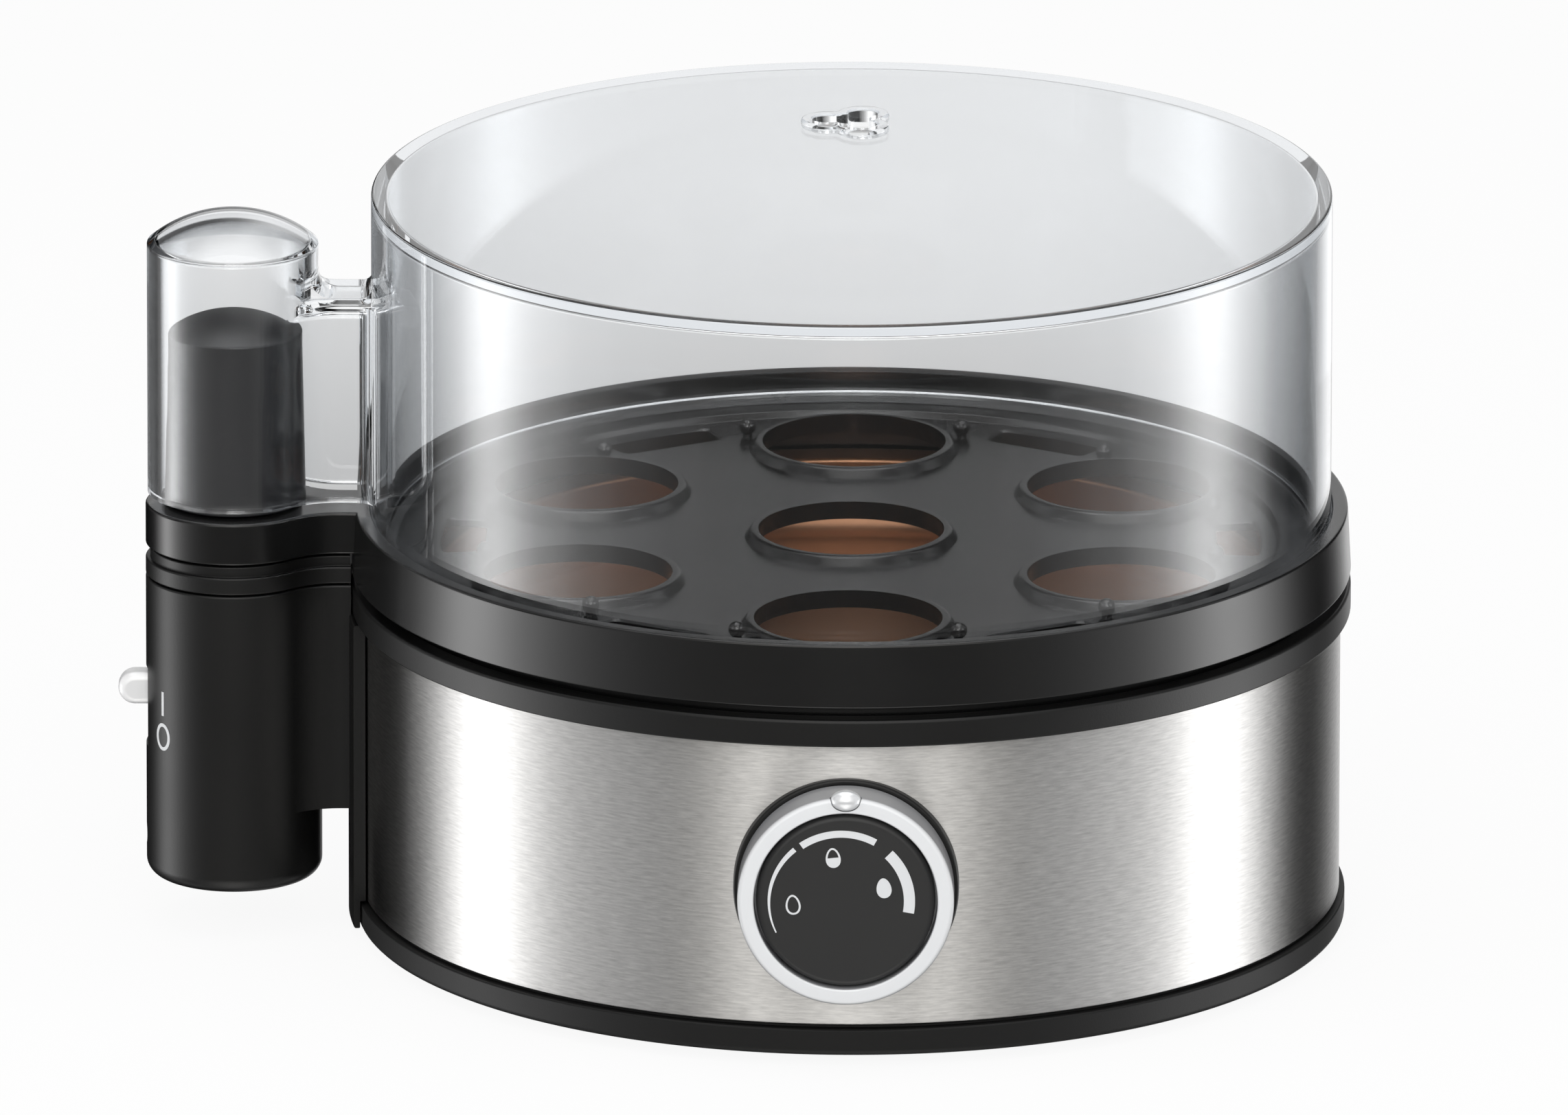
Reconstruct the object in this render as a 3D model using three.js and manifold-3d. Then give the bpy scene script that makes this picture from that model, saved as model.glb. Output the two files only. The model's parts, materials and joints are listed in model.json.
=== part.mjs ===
// Electric steam cooker with seven seats: a round steel-clad base with a heated water bowl, a
// lift-out carrier, a clear lid, a side tower with the mains switch, and a ring knob for the hardness.
// Millimetres, +Z up. The origin is on the drum's axis, in the plane of the base pan's underside.
// The knob faces -Y and the tower stands at -X.
import * as THREE from 'three';
import { mergeVertices } from 'three/addons/utils/BufferGeometryUtils.js';
import Module from 'manifold-3d';

const wasm = await Module();
wasm.setup();

// Clearances and overruns shared by the whole cooker
const FIT = 0.3; // gap between pieces that touch on the real cooker
const OVERRUN = 1; // how far a cutting body passes the face that it cuts
const WALL = 2; // moulded plastic wall
const SCREW_RADIUS = 1.4; // shank of every small screw
const SCREW_HOLE_RADIUS = 1.85;
const SCREW_HEAD_RADIUS = 2.8;
const SCREW_HEAD_HEIGHT = 1.8;
const CASE_SCREW_LENGTH = 26;
const TOWER_SCREW_LENGTH = 4.2;
const BOARD_SCREW_LENGTH = 6;
const GRIP_SCREW_LENGTH = 14;

// Drum, from the bottom up
const DRUM_RADIUS = 86.8; // outer face of the steel jacket
const JACKET_THICKNESS = 0.5;
const JACKET_HEIGHT = 51;
const JACKET_SHADOW = 0.7; // dark line between the pan's band and the jacket
const PAN_OVERHANG = 1;
const PAN_BAND_RADIUS = DRUM_RADIUS + PAN_OVERHANG;
const PAN_BAND_HEIGHT = 4.9;
const PAN_FLOOR = 2.2;
const PAN_EDGE = 1.2; // chamfer round the underside
const SPIGOT_HEIGHT = 5; // upstand inside the foot of the jacket
const COLLAR_OVERHANG = 1.8;
const COLLAR_RADIUS = DRUM_RADIUS + COLLAR_OVERHANG;
const COLLAR_BAND_HEIGHT = 4.9;
const COLLAR_RIM_WIDTH = 3.4;
const COLLAR_RIM_RADIUS = COLLAR_RADIUS - COLLAR_RIM_WIDTH; // inner face of the collar's raised rim
const COLLAR_SPIGOT_HEIGHT = 7;
const LEDGE_DEPTH = 2.6; // below the collar's top, where the bowl and the carrier rest
const LEDGE_WIDTH = 8.2;
const LEDGE_INNER_RADIUS = COLLAR_RIM_RADIUS - LEDGE_WIDTH;
const LEDGE_THICKNESS = 2;
const JACKET_GAP_DEG = 7.5; // half of the opening in the jacket at the tower

// Carrier
const SHADOW_GAP = 2.1; // dark line between the collar and the carrier's ring
const RING_HEIGHT = 11.5;
const RING_BOTTOM_RADIUS = COLLAR_RADIUS;
const RING_TAPER = 0.6;
const RING_TOP_RADIUS = RING_BOTTOM_RADIUS - RING_TAPER;
const RING_EDGE = 0.5; // rounding of the ring's top edge
const LID_SEAT_DEPTH = 4; // from the ring's top to the ledge that carries the lid
const LID_SEAT_WIDTH = 6.6; // from the ring's outside to the ledge's inner edge
const LID_SEAT_INNER_RADIUS = COLLAR_RADIUS - LID_SEAT_WIDTH;
const TRAY_MARGIN = 13.2;
const TRAY_RADIUS = COLLAR_RADIUS - TRAY_MARGIN;
const TRAY_STEP = 1.2; // the tray lies this much below the margin round it
const TRAY_SLOPE = 1.5;
const TRAY_DROP = 2; // from the lid's ledge to the tray
const TRAY_THICKNESS = 1.6;
const SKIRT_WALL = 2;
const SKIRT_RADIUS = COLLAR_RIM_RADIUS - 2 * FIT;
const SEAT_INSET = 20.4;
const SEAT_CIRCLE_RADIUS = TRAY_RADIUS - SEAT_INSET;
const SEAT_HOLE_RADIUS = 16.5;
const SEAT_LIP_WIDTH = 2.6;
const SEAT_LIP_HEIGHT = 1.6;
const OUTER_SEATS = 6;
const FIRST_SEAT_DEG = -90;
const WINDOW_INSET = 2.8;
const WINDOW_DEPTH = 7.1;
const WINDOW_OUTER_RADIUS = TRAY_RADIUS - WINDOW_INSET;
const WINDOW_INNER_RADIUS = WINDOW_OUTER_RADIUS - WINDOW_DEPTH;
const WINDOW_HALF_DEG = 8.5;
const PEG_INSET = 9.4;
const PEG_CIRCLE_RADIUS = TRAY_RADIUS - PEG_INSET;
const PEG_HALF_DEG = 17;
const PEG_RADIUS = 1;
const PEG_BALL_RADIUS = 1.5;
const PEG_HEIGHT = 3.2; // from the tray to the top of the ball

// Lid
const LID_SETBACK = 3.6; // lid's outside from the collar's outside
const LID_RADIUS = COLLAR_RADIUS - LID_SETBACK;
const LID_WALL = 2.5;
const LID_HEIGHT = 61;
const LID_EDGE = 0.7;
const TUBE_RADIUS = 15.2;
const TUBE_WALL = 2.4;
const TUBE_GAP = 1.7; // between the tube's lower edge and the carrier
const SHOULDER_HEIGHT = 47.6; // tube's shoulder above the carrier's ring
const DOME_RISE = 5.6;
const ROOF_RISE = 39; // top of the lid's neck above the carrier's ring
const ROOF_THICKNESS = 2.6;
const TUBE_INSET = 0.4; // the lid's handle lies this much inside the tower's outline
const VENT_SETBACK = 44.9;
const VENT_SHIFT = -0.6;
const VENT_LOBE_RADIUS = 2.7;
const VENT_LOBE_OFFSET = 4.2;
const VENT_CORE_RADIUS = 3.4;
const VENT_RIM_WIDTH = 2;
const VENT_RIM_HEIGHT = 0.8;
const VENT_LOBES = 3;

// Tower
const TOWER_REACH = 22.7;
const TOWER_OFFSET = DRUM_RADIUS + TOWER_REACH; // tower's axis from the drum's axis
const TOWER_RADIUS = 15.6;
const TOWER_UNDERSIDE = 6.7;
const TOWER_EDGE = 3; // rounding under the tower
const NECK_HALF_WIDTH = 7.8;
const NECK_FILLET = 12;
const NECK_UNDERSIDE = 20.7;
const SEAM_RISE = 0.5; // tower's seam above the collar's top
const CAP_BAND_HEIGHT = 3.1;
const CAP_PLINTH_INSET = 0.8;
const CAP_PLINTH_HEIGHT = 1.9;
const CAP_REGISTER_INSET = 3;
const CAP_REGISTER_HEIGHT = 2.4;
const CAP_PLUG_DEPTH = 3;
const SEGMENT_RISE = 3.9; // carrier's tower segment starts this much above the ring's foot
const SEGMENT_TOP = 2.2;
const PILLAR_RISE = 2.4;
const PILLAR_RADIUS = DRUM_RADIUS + PILLAR_RISE;
const PILLAR_HALF_DEG = 9.6;
const PILLAR_FOOT = 0.6;
const POST_BOTTOM_RADIUS = 12.2;
const POST_TOP_RADIUS = 11.5;
const POST_HEIGHT = 31.3; // up to the edge of its dome
const POST_DOME_RISE = 3.4;
const POST_WALL = 1.8;
const POST_BOSS_RADIUS = 3.4;
const POST_BOSS_HEIGHT = 14;

// Switch and pilot lamp, in the tower
const LEVER_HEIGHT = 41; // centre of the lever above the underside, switched on
const LEVER_TRAVEL = 6;
const LEVER_THICKNESS = 6;
const LEVER_WIDTH = 5;
const LEVER_REACH = 4.9; // how far the lever stands out of the tower
const LEVER_PLATE_THICKNESS = 0.9;
const LEVER_PLATE_HALF_WIDTH = 4;
const LEVER_PLATE_SETBACK = 1.4; // plate behind the tower's inner wall
const SWITCH_RECESS_DEPTH = 1;
const SWITCH_RECESS_MARGIN = 0.9;
const SWITCH_DEPTH = 7.4;
const SWITCH_HALF_WIDTH = 5;
const SWITCH_MARGIN = 3;
const BRACKET_THICKNESS = 1.6;
const BRACKET_HALF_WIDTH = 8;
const LAMP_HEIGHT = 14;
const LENS_RADIUS = 1.8;
const LENS_SETBACK = 0.5;
const LENS_FLANGE_RADIUS = 2.8;
const LENS_FLANGE_THICKNESS = 1;
const LAMP_RADIUS = 1.7;
const LAMP_LENGTH = 5;

// Knob, on the front
const KNOB_HEIGHT = 31.1;
const BEZEL_RADIUS = 19.8;
const BEZEL_RISE = 1.5; // bezel's front before the steel
const BEZEL_BOSS_RADIUS = 14;
const BEZEL_BOSS_DEPTH = 7;
const BEZEL_BORE_RADIUS = 6.2;
const KNOB_RADIUS = 19;
const KNOB_DEPTH = 8;
const KNOB_EDGE = 0.8;
const KNOB_RIM_WIDTH = 2.9;
const KNOB_POCKET_DEPTH = 3.6;
const KNOB_WEB = 1.5;
const KNOB_SLEEVE_RADIUS = 5.7;
const KNOB_SLEEVE_BORE = 3.3;
const NUB_HALF_WIDTH = 2.7;
const NUB_HALF_HEIGHT = 1.9;
const NUB_HALF_DEPTH = 1.7;
const DISC_RADIUS = 15.7;
const DISC_THICKNESS = 2.7;
const DISC_EDGE = 0.9;
const DISC_POST_RADIUS = 3;
const BOARD_SETBACK = 16.1;
const BOARD_DISTANCE = DRUM_RADIUS - BOARD_SETBACK; // board's rear face from the drum's axis
const BOARD_THICKNESS = 1.6;
const BOARD_HALF_WIDTH = 30;
const BOARD_BELOW_KNOB = 24;
const BOARD_ABOVE_KNOB = 11;
const BOARD_POST_SIZE = 5;
const BOARD_POST_OFFSET = 26;
const BOARD_POST_TOP_MARGIN = 3;
const BOARD_SCREW_INSET = 4;
const ENCODER_HALF_SIZE = 11;
const ENCODER_DEPTH = 6.4;
const DIAL_NUT_RADIUS = 5.5;
const DIAL_NUT_THICKNESS = 3;

// Heating
const BOWL_CLEARANCE = 2.5;
const BOWL_RADIUS = LEDGE_INNER_RADIUS - BOWL_CLEARANCE;
const BOWL_DEPTH = 13;
const BOWL_CORNER = 9;
const BOWL_SHEET = 1.2;
const BOWL_FLANGE_WIDTH = 4.5; // on the ledge
const BOWL_FLANGE_RADIUS = LEDGE_INNER_RADIUS + BOWL_FLANGE_WIDTH;
const SEAL_THICKNESS = 0.8;
const SEAL_WIDTH = 4;
const SPREADER_OUTER_RADIUS = 56;
const SPREADER_WIDTH = 22;
const SPREADER_THICKNESS = 1.5;
const ELEMENT_CIRCLE_RADIUS = 45;
const ELEMENT_TUBE_RADIUS = 3.6;
const ELEMENT_GAP_DEG = 40;
const ELEMENT_END_X = 14.4; // inner ends of the element's tube, either side of the middle
const TERMINAL_LENGTH = 8;
const TERMINAL_WIDTH = 5;
const TERMINAL_THICKNESS = 0.9;
const STRAP_HALF_LENGTH = 50;
const STRAP_HALF_WIDTH = 6;
const STRAP_THICKNESS = 1.5;
const STUD_RADIUS = 2;
const STUD_NUT_RADIUS = 4;
const STUD_NUT_THICKNESS = 3;
const THERMOSTAT_RADIUS = 8;
const THERMOSTAT_HEIGHT = 7;
const THERMOSTAT_OFFSET = 20;
const FUSE_RADIUS = 2;
const FUSE_LENGTH = 12;
const FUSE_OFFSET = 20;
const SENSOR_SIZE = 5;

// Inside the base
const CASE_SCREW_INSET = 6.5;
const CASE_SCREW_CIRCLE = DRUM_RADIUS - CASE_SCREW_INSET;
const CASE_SCREW_FIRST_DEG = 45;
const CASE_SCREWS = 4;
const CASE_BOSS_RADIUS = 3.2;
const CASE_BOSS_HEIGHT = 18;
const CASE_BORE_RADIUS = 1.7;
const COUNTERBORE_DEPTH = 3;
const MAST_HALF_DEG = 10;
const MAST_HEIGHT = 49;
const MAST_HOLE_HALF_WIDTH = 5;
const MAST_HOLE_HALF_HEIGHT = 6;
const TOWER_SCREW_BOSS_RADIUS = 3;
const FOOT_INSET = 22.8;
const FOOT_CIRCLE = DRUM_RADIUS - FOOT_INSET;
const FOOT_RADIUS = 6;
const FOOT_HEIGHT = 2;
const FOOT_RECESS = 1;
const SLOT_COUNT = 9;
const SLOT_LENGTH = 30;
const SLOT_WIDTH = 2;
const SLOT_PITCH = 6;
const GLAND_HEIGHT = 13;
const GLAND_RADIUS = 5.8;
const GLAND_FLANGE_RADIUS = 7.4;
const GLAND_FLANGE_THICKNESS = 2;
const GLAND_BORE_RADIUS = 3.6;
const CLAMP_DEPTH = 8;
const CLAMP_SETBACK = 8.8;
const CLAMP_DISTANCE = DRUM_RADIUS - WALL - CLAMP_SETBACK - CLAMP_DEPTH;
const CLAMP_HALF_WIDTH = 11;
const BLOCK_DEPTH = 12;
const BLOCK_SPACING = 10;
const BLOCK_DISTANCE = CLAMP_DISTANCE - BLOCK_SPACING - BLOCK_DEPTH;
const BLOCK_HALF_WIDTH = 16;
const BLOCK_HEIGHT = 11;
const WIRE_RADIUS = 1.3;
const RELAY_SIZE = [15, 19, 13];
const CAPACITOR_RADIUS = 5;
const CAPACITOR_LENGTH = 12;
const BUZZER_RADIUS = 6;
const BUZZER_LENGTH = 8;
const PART_SPACING = 15; // between the large components on the board

// Facets
const DRUM_SIDES = 60;
const BOWL_SIDES = 40;
const TOWER_SIDES = 30;
const KNOB_SIDES = 40;
const ROUND_SIDES = 20;
const SMALL_SIDES = 10;
const WIRE_SIDES = 6;
const PEG_SIDES = 6;
const HEX_SIDES = 6;
const ARC_STEPS = 6;
const HALF_ARC_STEPS = 3;
const FULL_TURN = 2 * Math.PI;
const RIGHT_DEG = 90;
const HALF_TURN_DEG = 180;
const FULL_DEG = 360;

// Heights that follow from the sizes above
const jacketFoot = PAN_BAND_HEIGHT + JACKET_SHADOW;
const jacketTop = jacketFoot + JACKET_HEIGHT;
const collarFoot = jacketTop + FIT;
const collarTop = collarFoot + COLLAR_BAND_HEIGHT;
const ledge = collarTop - LEDGE_DEPTH;
const spigotRadius = DRUM_RADIUS - JACKET_THICKNESS - FIT;
const ringFoot = collarTop + SHADOW_GAP;
const ringTop = ringFoot + RING_HEIGHT;
const lidSeat = ringTop - LID_SEAT_DEPTH;
const lidFoot = lidSeat + FIT;
const lidTop = lidFoot + LID_HEIGHT;
const trayTop = lidSeat - TRAY_DROP;
const trayFoot = trayTop - TRAY_THICKNESS;
const skirtFoot = ledge + FIT;
const ringInnerRadius = LID_RADIUS + FIT;
const tubeFoot = ringTop + TUBE_GAP;
const shoulder = ringTop + SHOULDER_HEIGHT;
const roofTop = ringTop + ROOF_RISE;
const towerSeam = collarTop + SEAM_RISE;
const housingTop = towerSeam - FIT;
const capTop = towerSeam + CAP_BAND_HEIGHT;
const segmentFoot = ringFoot + SEGMENT_RISE;
const segmentCeiling = ringTop - SEGMENT_TOP;
const neckEndRadius = COLLAR_RADIUS + FIT; // the neck and the cap stop here above the jacket
const towerInnerRadius = TOWER_RADIUS - WALL;
const sealFoot = ledge + FIT;
const flangeTop = sealFoot + SEAL_THICKNESS + FIT + BOWL_SHEET;
const bowlFloor = flangeTop - BOWL_DEPTH;
const bowlUnderside = bowlFloor - BOWL_SHEET;
const spreaderTop = bowlUnderside - FIT;
const spreaderFoot = spreaderTop - SPREADER_THICKNESS;
const elementAxis = spreaderFoot - FIT - ELEMENT_TUBE_RADIUS;
const strapTop = elementAxis - ELEMENT_TUBE_RADIUS - FIT;
const strapFoot = strapTop - STRAP_THICKNESS;
const nutTop = strapFoot - FIT;
const studFoot = nutTop - STUD_NUT_THICKNESS - FIT;

const radians = (degrees) => degrees * Math.PI / HALF_TURN_DEG;

// Signed volume of an indexed geometry, used to turn a shape's faces outwards
function signedVolume(positions, index) {
  const [a, b, c] = [new THREE.Vector3(), new THREE.Vector3(), new THREE.Vector3()];
  let volume = 0;
  for (let i = 0; i < index.length; i += 3) {
    a.fromArray(positions, 3 * index[i]);
    b.fromArray(positions, 3 * index[i + 1]);
    c.fromArray(positions, 3 * index[i + 2]);
    volume += a.dot(b.cross(c));
  }
  return volume;
}

// A closed three.js geometry as a solid that can be joined and cut
function solid(geometry) {
  const bare = geometry.clone();
  bare.deleteAttribute('normal');
  bare.deleteAttribute('uv');
  const merged = mergeVertices(bare);
  const positions = merged.attributes.position.array;
  const corners = merged.index.array;
  const index = [];
  for (let i = 0; i < corners.length; i += 3) {
    const [p, q, r] = corners.slice(i, i + 3);
    if (p !== q && q !== r && r !== p) index.push(p, q, r);
  }
  if (signedVolume(positions, index) < 0) index.reverse();
  return new wasm.Manifold(new wasm.Mesh({
    numProp: 3,
    vertProperties: new Float32Array(positions),
    triVerts: new Uint32Array(index),
  }));
}

// A solid as a flat-shaded geometry
function geometryOf(body) {
  const mesh = body.getMesh();
  const geometry = new THREE.BufferGeometry();
  const values = new Float32Array(3 * mesh.numVert);
  for (let v = 0; v < mesh.numVert; v += 1) {
    for (let k = 0; k < 3; k += 1) values[3 * v + k] = mesh.vertProperties[v * mesh.numProp + k];
  }
  geometry.setAttribute('position', new THREE.BufferAttribute(values, 3));
  geometry.setIndex(new THREE.BufferAttribute(new Uint32Array(mesh.triVerts), 1));
  geometry.computeVertexNormals();
  return geometry;
}

const join = (first, ...rest) => rest.reduce((sum, piece) => sum.add(piece), first);
const cut = (first, ...rest) => rest.reduce((sum, piece) => sum.subtract(piece), first);

// A profile of [radius, height] points turned round the Z axis; a ring's profile closes on itself
function turnedGeometry(profile, sides, from = 0, sweep = FULL_TURN) {
  const onAxis = profile[0][0] === 0 && profile[profile.length - 1][0] === 0;
  const closed = onAxis ? profile : [...profile, profile[0]];
  const points = closed.map(([radius, height]) => new THREE.Vector2(radius, height));
  const geometry = new THREE.LatheGeometry(points, sides, from, sweep);
  return geometry.rotateX(radians(RIGHT_DEG));
}

const turned = (profile, sides) => solid(turnedGeometry(profile, sides));
const rod = (radius, low, high, sides) => turned(
  [[0, low], [radius, low], [radius, high], [0, high]], sides);
const tube = (inner, outer, low, high, sides) => turned(
  [[inner, low], [outer, low], [outer, high], [inner, high]], sides);

// A hexagonal nut with a round bore
const nut = (radius, bore, low, high) => cut(
  rod(radius, low, high, HEX_SIDES), rod(bore, low - OVERRUN, high + OVERRUN, ROUND_SIDES));

// A box between two corners
function block([x0, y0, z0], [x1, y1, z1]) {
  const geometry = new THREE.BoxGeometry(x1 - x0, y1 - y0, z1 - z0);
  return solid(geometry.translate((x0 + x1) / 2, (y0 + y1) / 2, (z0 + z1) / 2));
}

// An outline in the XY plane carried from one height to another
function prism(outline, low, high) {
  const shape = new THREE.Shape(outline);
  const geometry = new THREE.ExtrudeGeometry(shape, { depth: high - low, bevelEnabled: false });
  return solid(geometry.translate(0, 0, low));
}

// Points of an arc, both ends included, angles in degrees
function arc(x, y, radius, startDeg, endDeg, steps) {
  return Array.from({ length: steps + 1 }, (_, i) => {
    const angle = radians(startDeg + (endDeg - startDeg) * i / steps);
    return new THREE.Vector2(x + radius * Math.cos(angle), y + radius * Math.sin(angle));
  });
}

// A round rod or ring anywhere, along any axis: built on Z, turned, then moved
function placed(geometry, position, rotation = [0, 0, 0]) {
  geometry.applyMatrix4(new THREE.Matrix4().makeRotationFromEuler(new THREE.Euler(...rotation)));
  return solid(geometry.translate(...position));
}

const rodGeometry = (radius, low, high, sides) => turnedGeometry(
  [[0, low], [radius, low], [radius, high], [0, high]], sides);
const uprightRod = (radius, low, high, x, y, sides) => placed(
  rodGeometry(radius, low, high, sides), [x, y, 0]);

// A rod along X between two x values
const rodAlongX = (radius, x0, x1, y, z, sides) => placed(
  rodGeometry(radius, x0, x1, sides), [0, y, z], [0, radians(RIGHT_DEG), 0]);

// Sector of a ring between two radii, centred on a direction
function sector(inner, outer, centreDeg, halfDeg, low, high, steps) {
  const outline = [
    ...arc(0, 0, outer, centreDeg - halfDeg, centreDeg + halfDeg, steps),
    ...arc(0, 0, inner, centreDeg + halfDeg, centreDeg - halfDeg, steps),
  ];
  return prism(outline, low, high);
}

// Outline of the tower and its neck: a circle, two concave fillets and two straight walls that
// run to x = -endX. Insetting by d narrows the circle and the neck and widens the fillets.
function towerOutline(inset, endX) {
  const radius = TOWER_RADIUS - inset;
  const half = NECK_HALF_WIDTH - inset;
  const fillet = NECK_FILLET + inset;
  const reach = Math.sqrt((radius + fillet) ** 2 - (half + fillet) ** 2);
  const turnDeg = Math.asin((half + fillet) / (radius + fillet)) * HALF_TURN_DEG / Math.PI;
  const filletX = -TOWER_OFFSET + reach;
  const below = arc(filletX, -half - fillet, fillet, RIGHT_DEG, HALF_TURN_DEG - turnDeg, ARC_STEPS);
  const round = arc(-TOWER_OFFSET, 0, radius, -turnDeg, turnDeg - 2 * HALF_TURN_DEG, TOWER_SIDES);
  const above = arc(filletX, half + fillet, fillet, HALF_TURN_DEG + turnDeg, 3 * RIGHT_DEG, ARC_STEPS);
  return [
    new THREE.Vector2(-endX, -half),
    ...below.slice(0, -1),
    ...round,
    ...above.slice(1),
    new THREE.Vector2(-endX, half),
  ];
}

const towerPrism = (inset, endX, low, high) => prism(towerOutline(inset, endX), low, high);

// Directions of the carrier's outer seats and of the windows between them
const seatAngles = Array.from({ length: OUTER_SEATS }, (_, i) => FIRST_SEAT_DEG
  + i * FULL_DEG / OUTER_SEATS);
const windowAngles = seatAngles.map((angle) => angle + HALF_TURN_DEG / OUTER_SEATS);
const seatCentres = [
  [0, 0],
  ...seatAngles.map((angle) => polar(SEAT_CIRCLE_RADIUS, angle)),
];

function polar(radius, degrees) {
  return [radius * Math.cos(radians(degrees)), radius * Math.sin(radians(degrees))];
}

const caseAngles = Array.from({ length: CASE_SCREWS }, (_, i) => CASE_SCREW_FIRST_DEG
  + i * FULL_DEG / CASE_SCREWS);

// Carrier: outer ring with the lid's ledge, a tray with seven seats, steam windows and pegs,
// a skirt that drops into the base's collar, and the segment over the tower
function carrier() {
  const ring = turned([
    [0, trayFoot],
    [SKIRT_RADIUS - SKIRT_WALL, trayFoot],
    [SKIRT_RADIUS - SKIRT_WALL, skirtFoot],
    [SKIRT_RADIUS, skirtFoot],
    [SKIRT_RADIUS, ringFoot],
    [RING_BOTTOM_RADIUS, ringFoot],
    [RING_TOP_RADIUS, ringTop - RING_EDGE],
    [RING_TOP_RADIUS - RING_EDGE, ringTop],
    [ringInnerRadius, ringTop],
    [ringInnerRadius, lidSeat],
    [LID_SEAT_INNER_RADIUS, lidSeat],
    [LID_SEAT_INNER_RADIUS - TRAY_SLOPE, trayTop + TRAY_STEP],
    [TRAY_RADIUS + FIT, trayTop + TRAY_STEP],
    [TRAY_RADIUS, trayTop],
    [0, trayTop],
  ], DRUM_SIDES);
  const lipRadius = SEAT_HOLE_RADIUS + SEAT_LIP_WIDTH;
  const lips = seatCentres.map(([x, y]) => placed(turnedGeometry([
    [SEAT_HOLE_RADIUS - OVERRUN, trayTop - TRAY_THICKNESS / 2],
    [lipRadius, trayTop - TRAY_THICKNESS / 2],
    [lipRadius - SEAT_LIP_WIDTH / 2, trayTop + SEAT_LIP_HEIGHT],
    [SEAT_HOLE_RADIUS - OVERRUN, trayTop + SEAT_LIP_HEIGHT],
  ], ROUND_SIDES), [x, y, 0]));
  const holes = seatCentres.map(([x, y]) => uprightRod(SEAT_HOLE_RADIUS, trayFoot - OVERRUN,
    trayTop + SEAT_LIP_HEIGHT + OVERRUN, x, y, ROUND_SIDES));
  const windows = windowAngles.map((angle) => sector(WINDOW_INNER_RADIUS, WINDOW_OUTER_RADIUS,
    angle, WINDOW_HALF_DEG, trayFoot - OVERRUN, trayTop + OVERRUN, HALF_ARC_STEPS));
  const segment = cut(
    towerPrism(0, RING_TOP_RADIUS - RING_EDGE - OVERRUN, segmentFoot, ringTop),
    towerPrism(WALL, RING_BOTTOM_RADIUS + FIT, segmentFoot - OVERRUN, segmentCeiling),
    uprightRod(SCREW_HOLE_RADIUS, segmentCeiling - OVERRUN, ringTop + OVERRUN,
      -TOWER_OFFSET, 0, SMALL_SIDES),
  );
  const pegs = seatAngles.flatMap((angle) => [-PEG_HALF_DEG, PEG_HALF_DEG].map((turn) => {
    const [x, y] = polar(PEG_CIRCLE_RADIUS, angle + turn);
    return peg(x, y);
  }));
  return cut(join(ring, segment, ...lips, ...pegs), ...holes, ...windows);
}

// One ball-ended peg, standing in the tray
function peg(x, y) {
  const centre = trayTop + PEG_HEIGHT - PEG_BALL_RADIUS;
  const ball = [-RIGHT_DEG / 2, 0, RIGHT_DEG / 2].map((angle) => [
    PEG_BALL_RADIUS * Math.cos(radians(angle)), centre + PEG_BALL_RADIUS * Math.sin(radians(angle)),
  ]);
  const profile = [
    [0, trayTop - TRAY_THICKNESS / 2],
    [PEG_RADIUS, trayTop - TRAY_THICKNESS / 2],
    ...ball,
    [0, centre + PEG_BALL_RADIUS],
  ];
  return placed(turnedGeometry(profile, PEG_SIDES), [x, y, 0]);
}

// Grip post that the carrier is lifted by: a tapered hollow cap with a domed top and a screw boss
function gripPost() {
  const foot = ringTop + FIT;
  const top = foot + POST_HEIGHT;
  const shell = turnedGeometry([
    [0, top - POST_WALL],
    [POST_TOP_RADIUS - POST_WALL, top - POST_WALL],
    [POST_BOTTOM_RADIUS - POST_WALL, foot],
    [POST_BOTTOM_RADIUS, foot],
    ...domeCap(POST_TOP_RADIUS, top, POST_DOME_RISE),
  ], TOWER_SIDES);
  const boss = tube(SCREW_HOLE_RADIUS, POST_BOSS_RADIUS, foot, foot + POST_BOSS_HEIGHT, SMALL_SIDES);
  const ribs = [0, RIGHT_DEG].map((turn) => placed(new THREE.BoxGeometry(
    2 * (POST_BOTTOM_RADIUS - POST_WALL / 2), POST_WALL, POST_BOSS_HEIGHT),
  [0, 0, foot + POST_BOSS_HEIGHT / 2], [0, 0, radians(turn)]));
  const bore = rod(SCREW_HOLE_RADIUS, foot - OVERRUN, foot + POST_BOSS_HEIGHT + OVERRUN, SMALL_SIDES);
  return cut(join(solid(shell), ...ribs, boss), bore);
}

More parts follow.
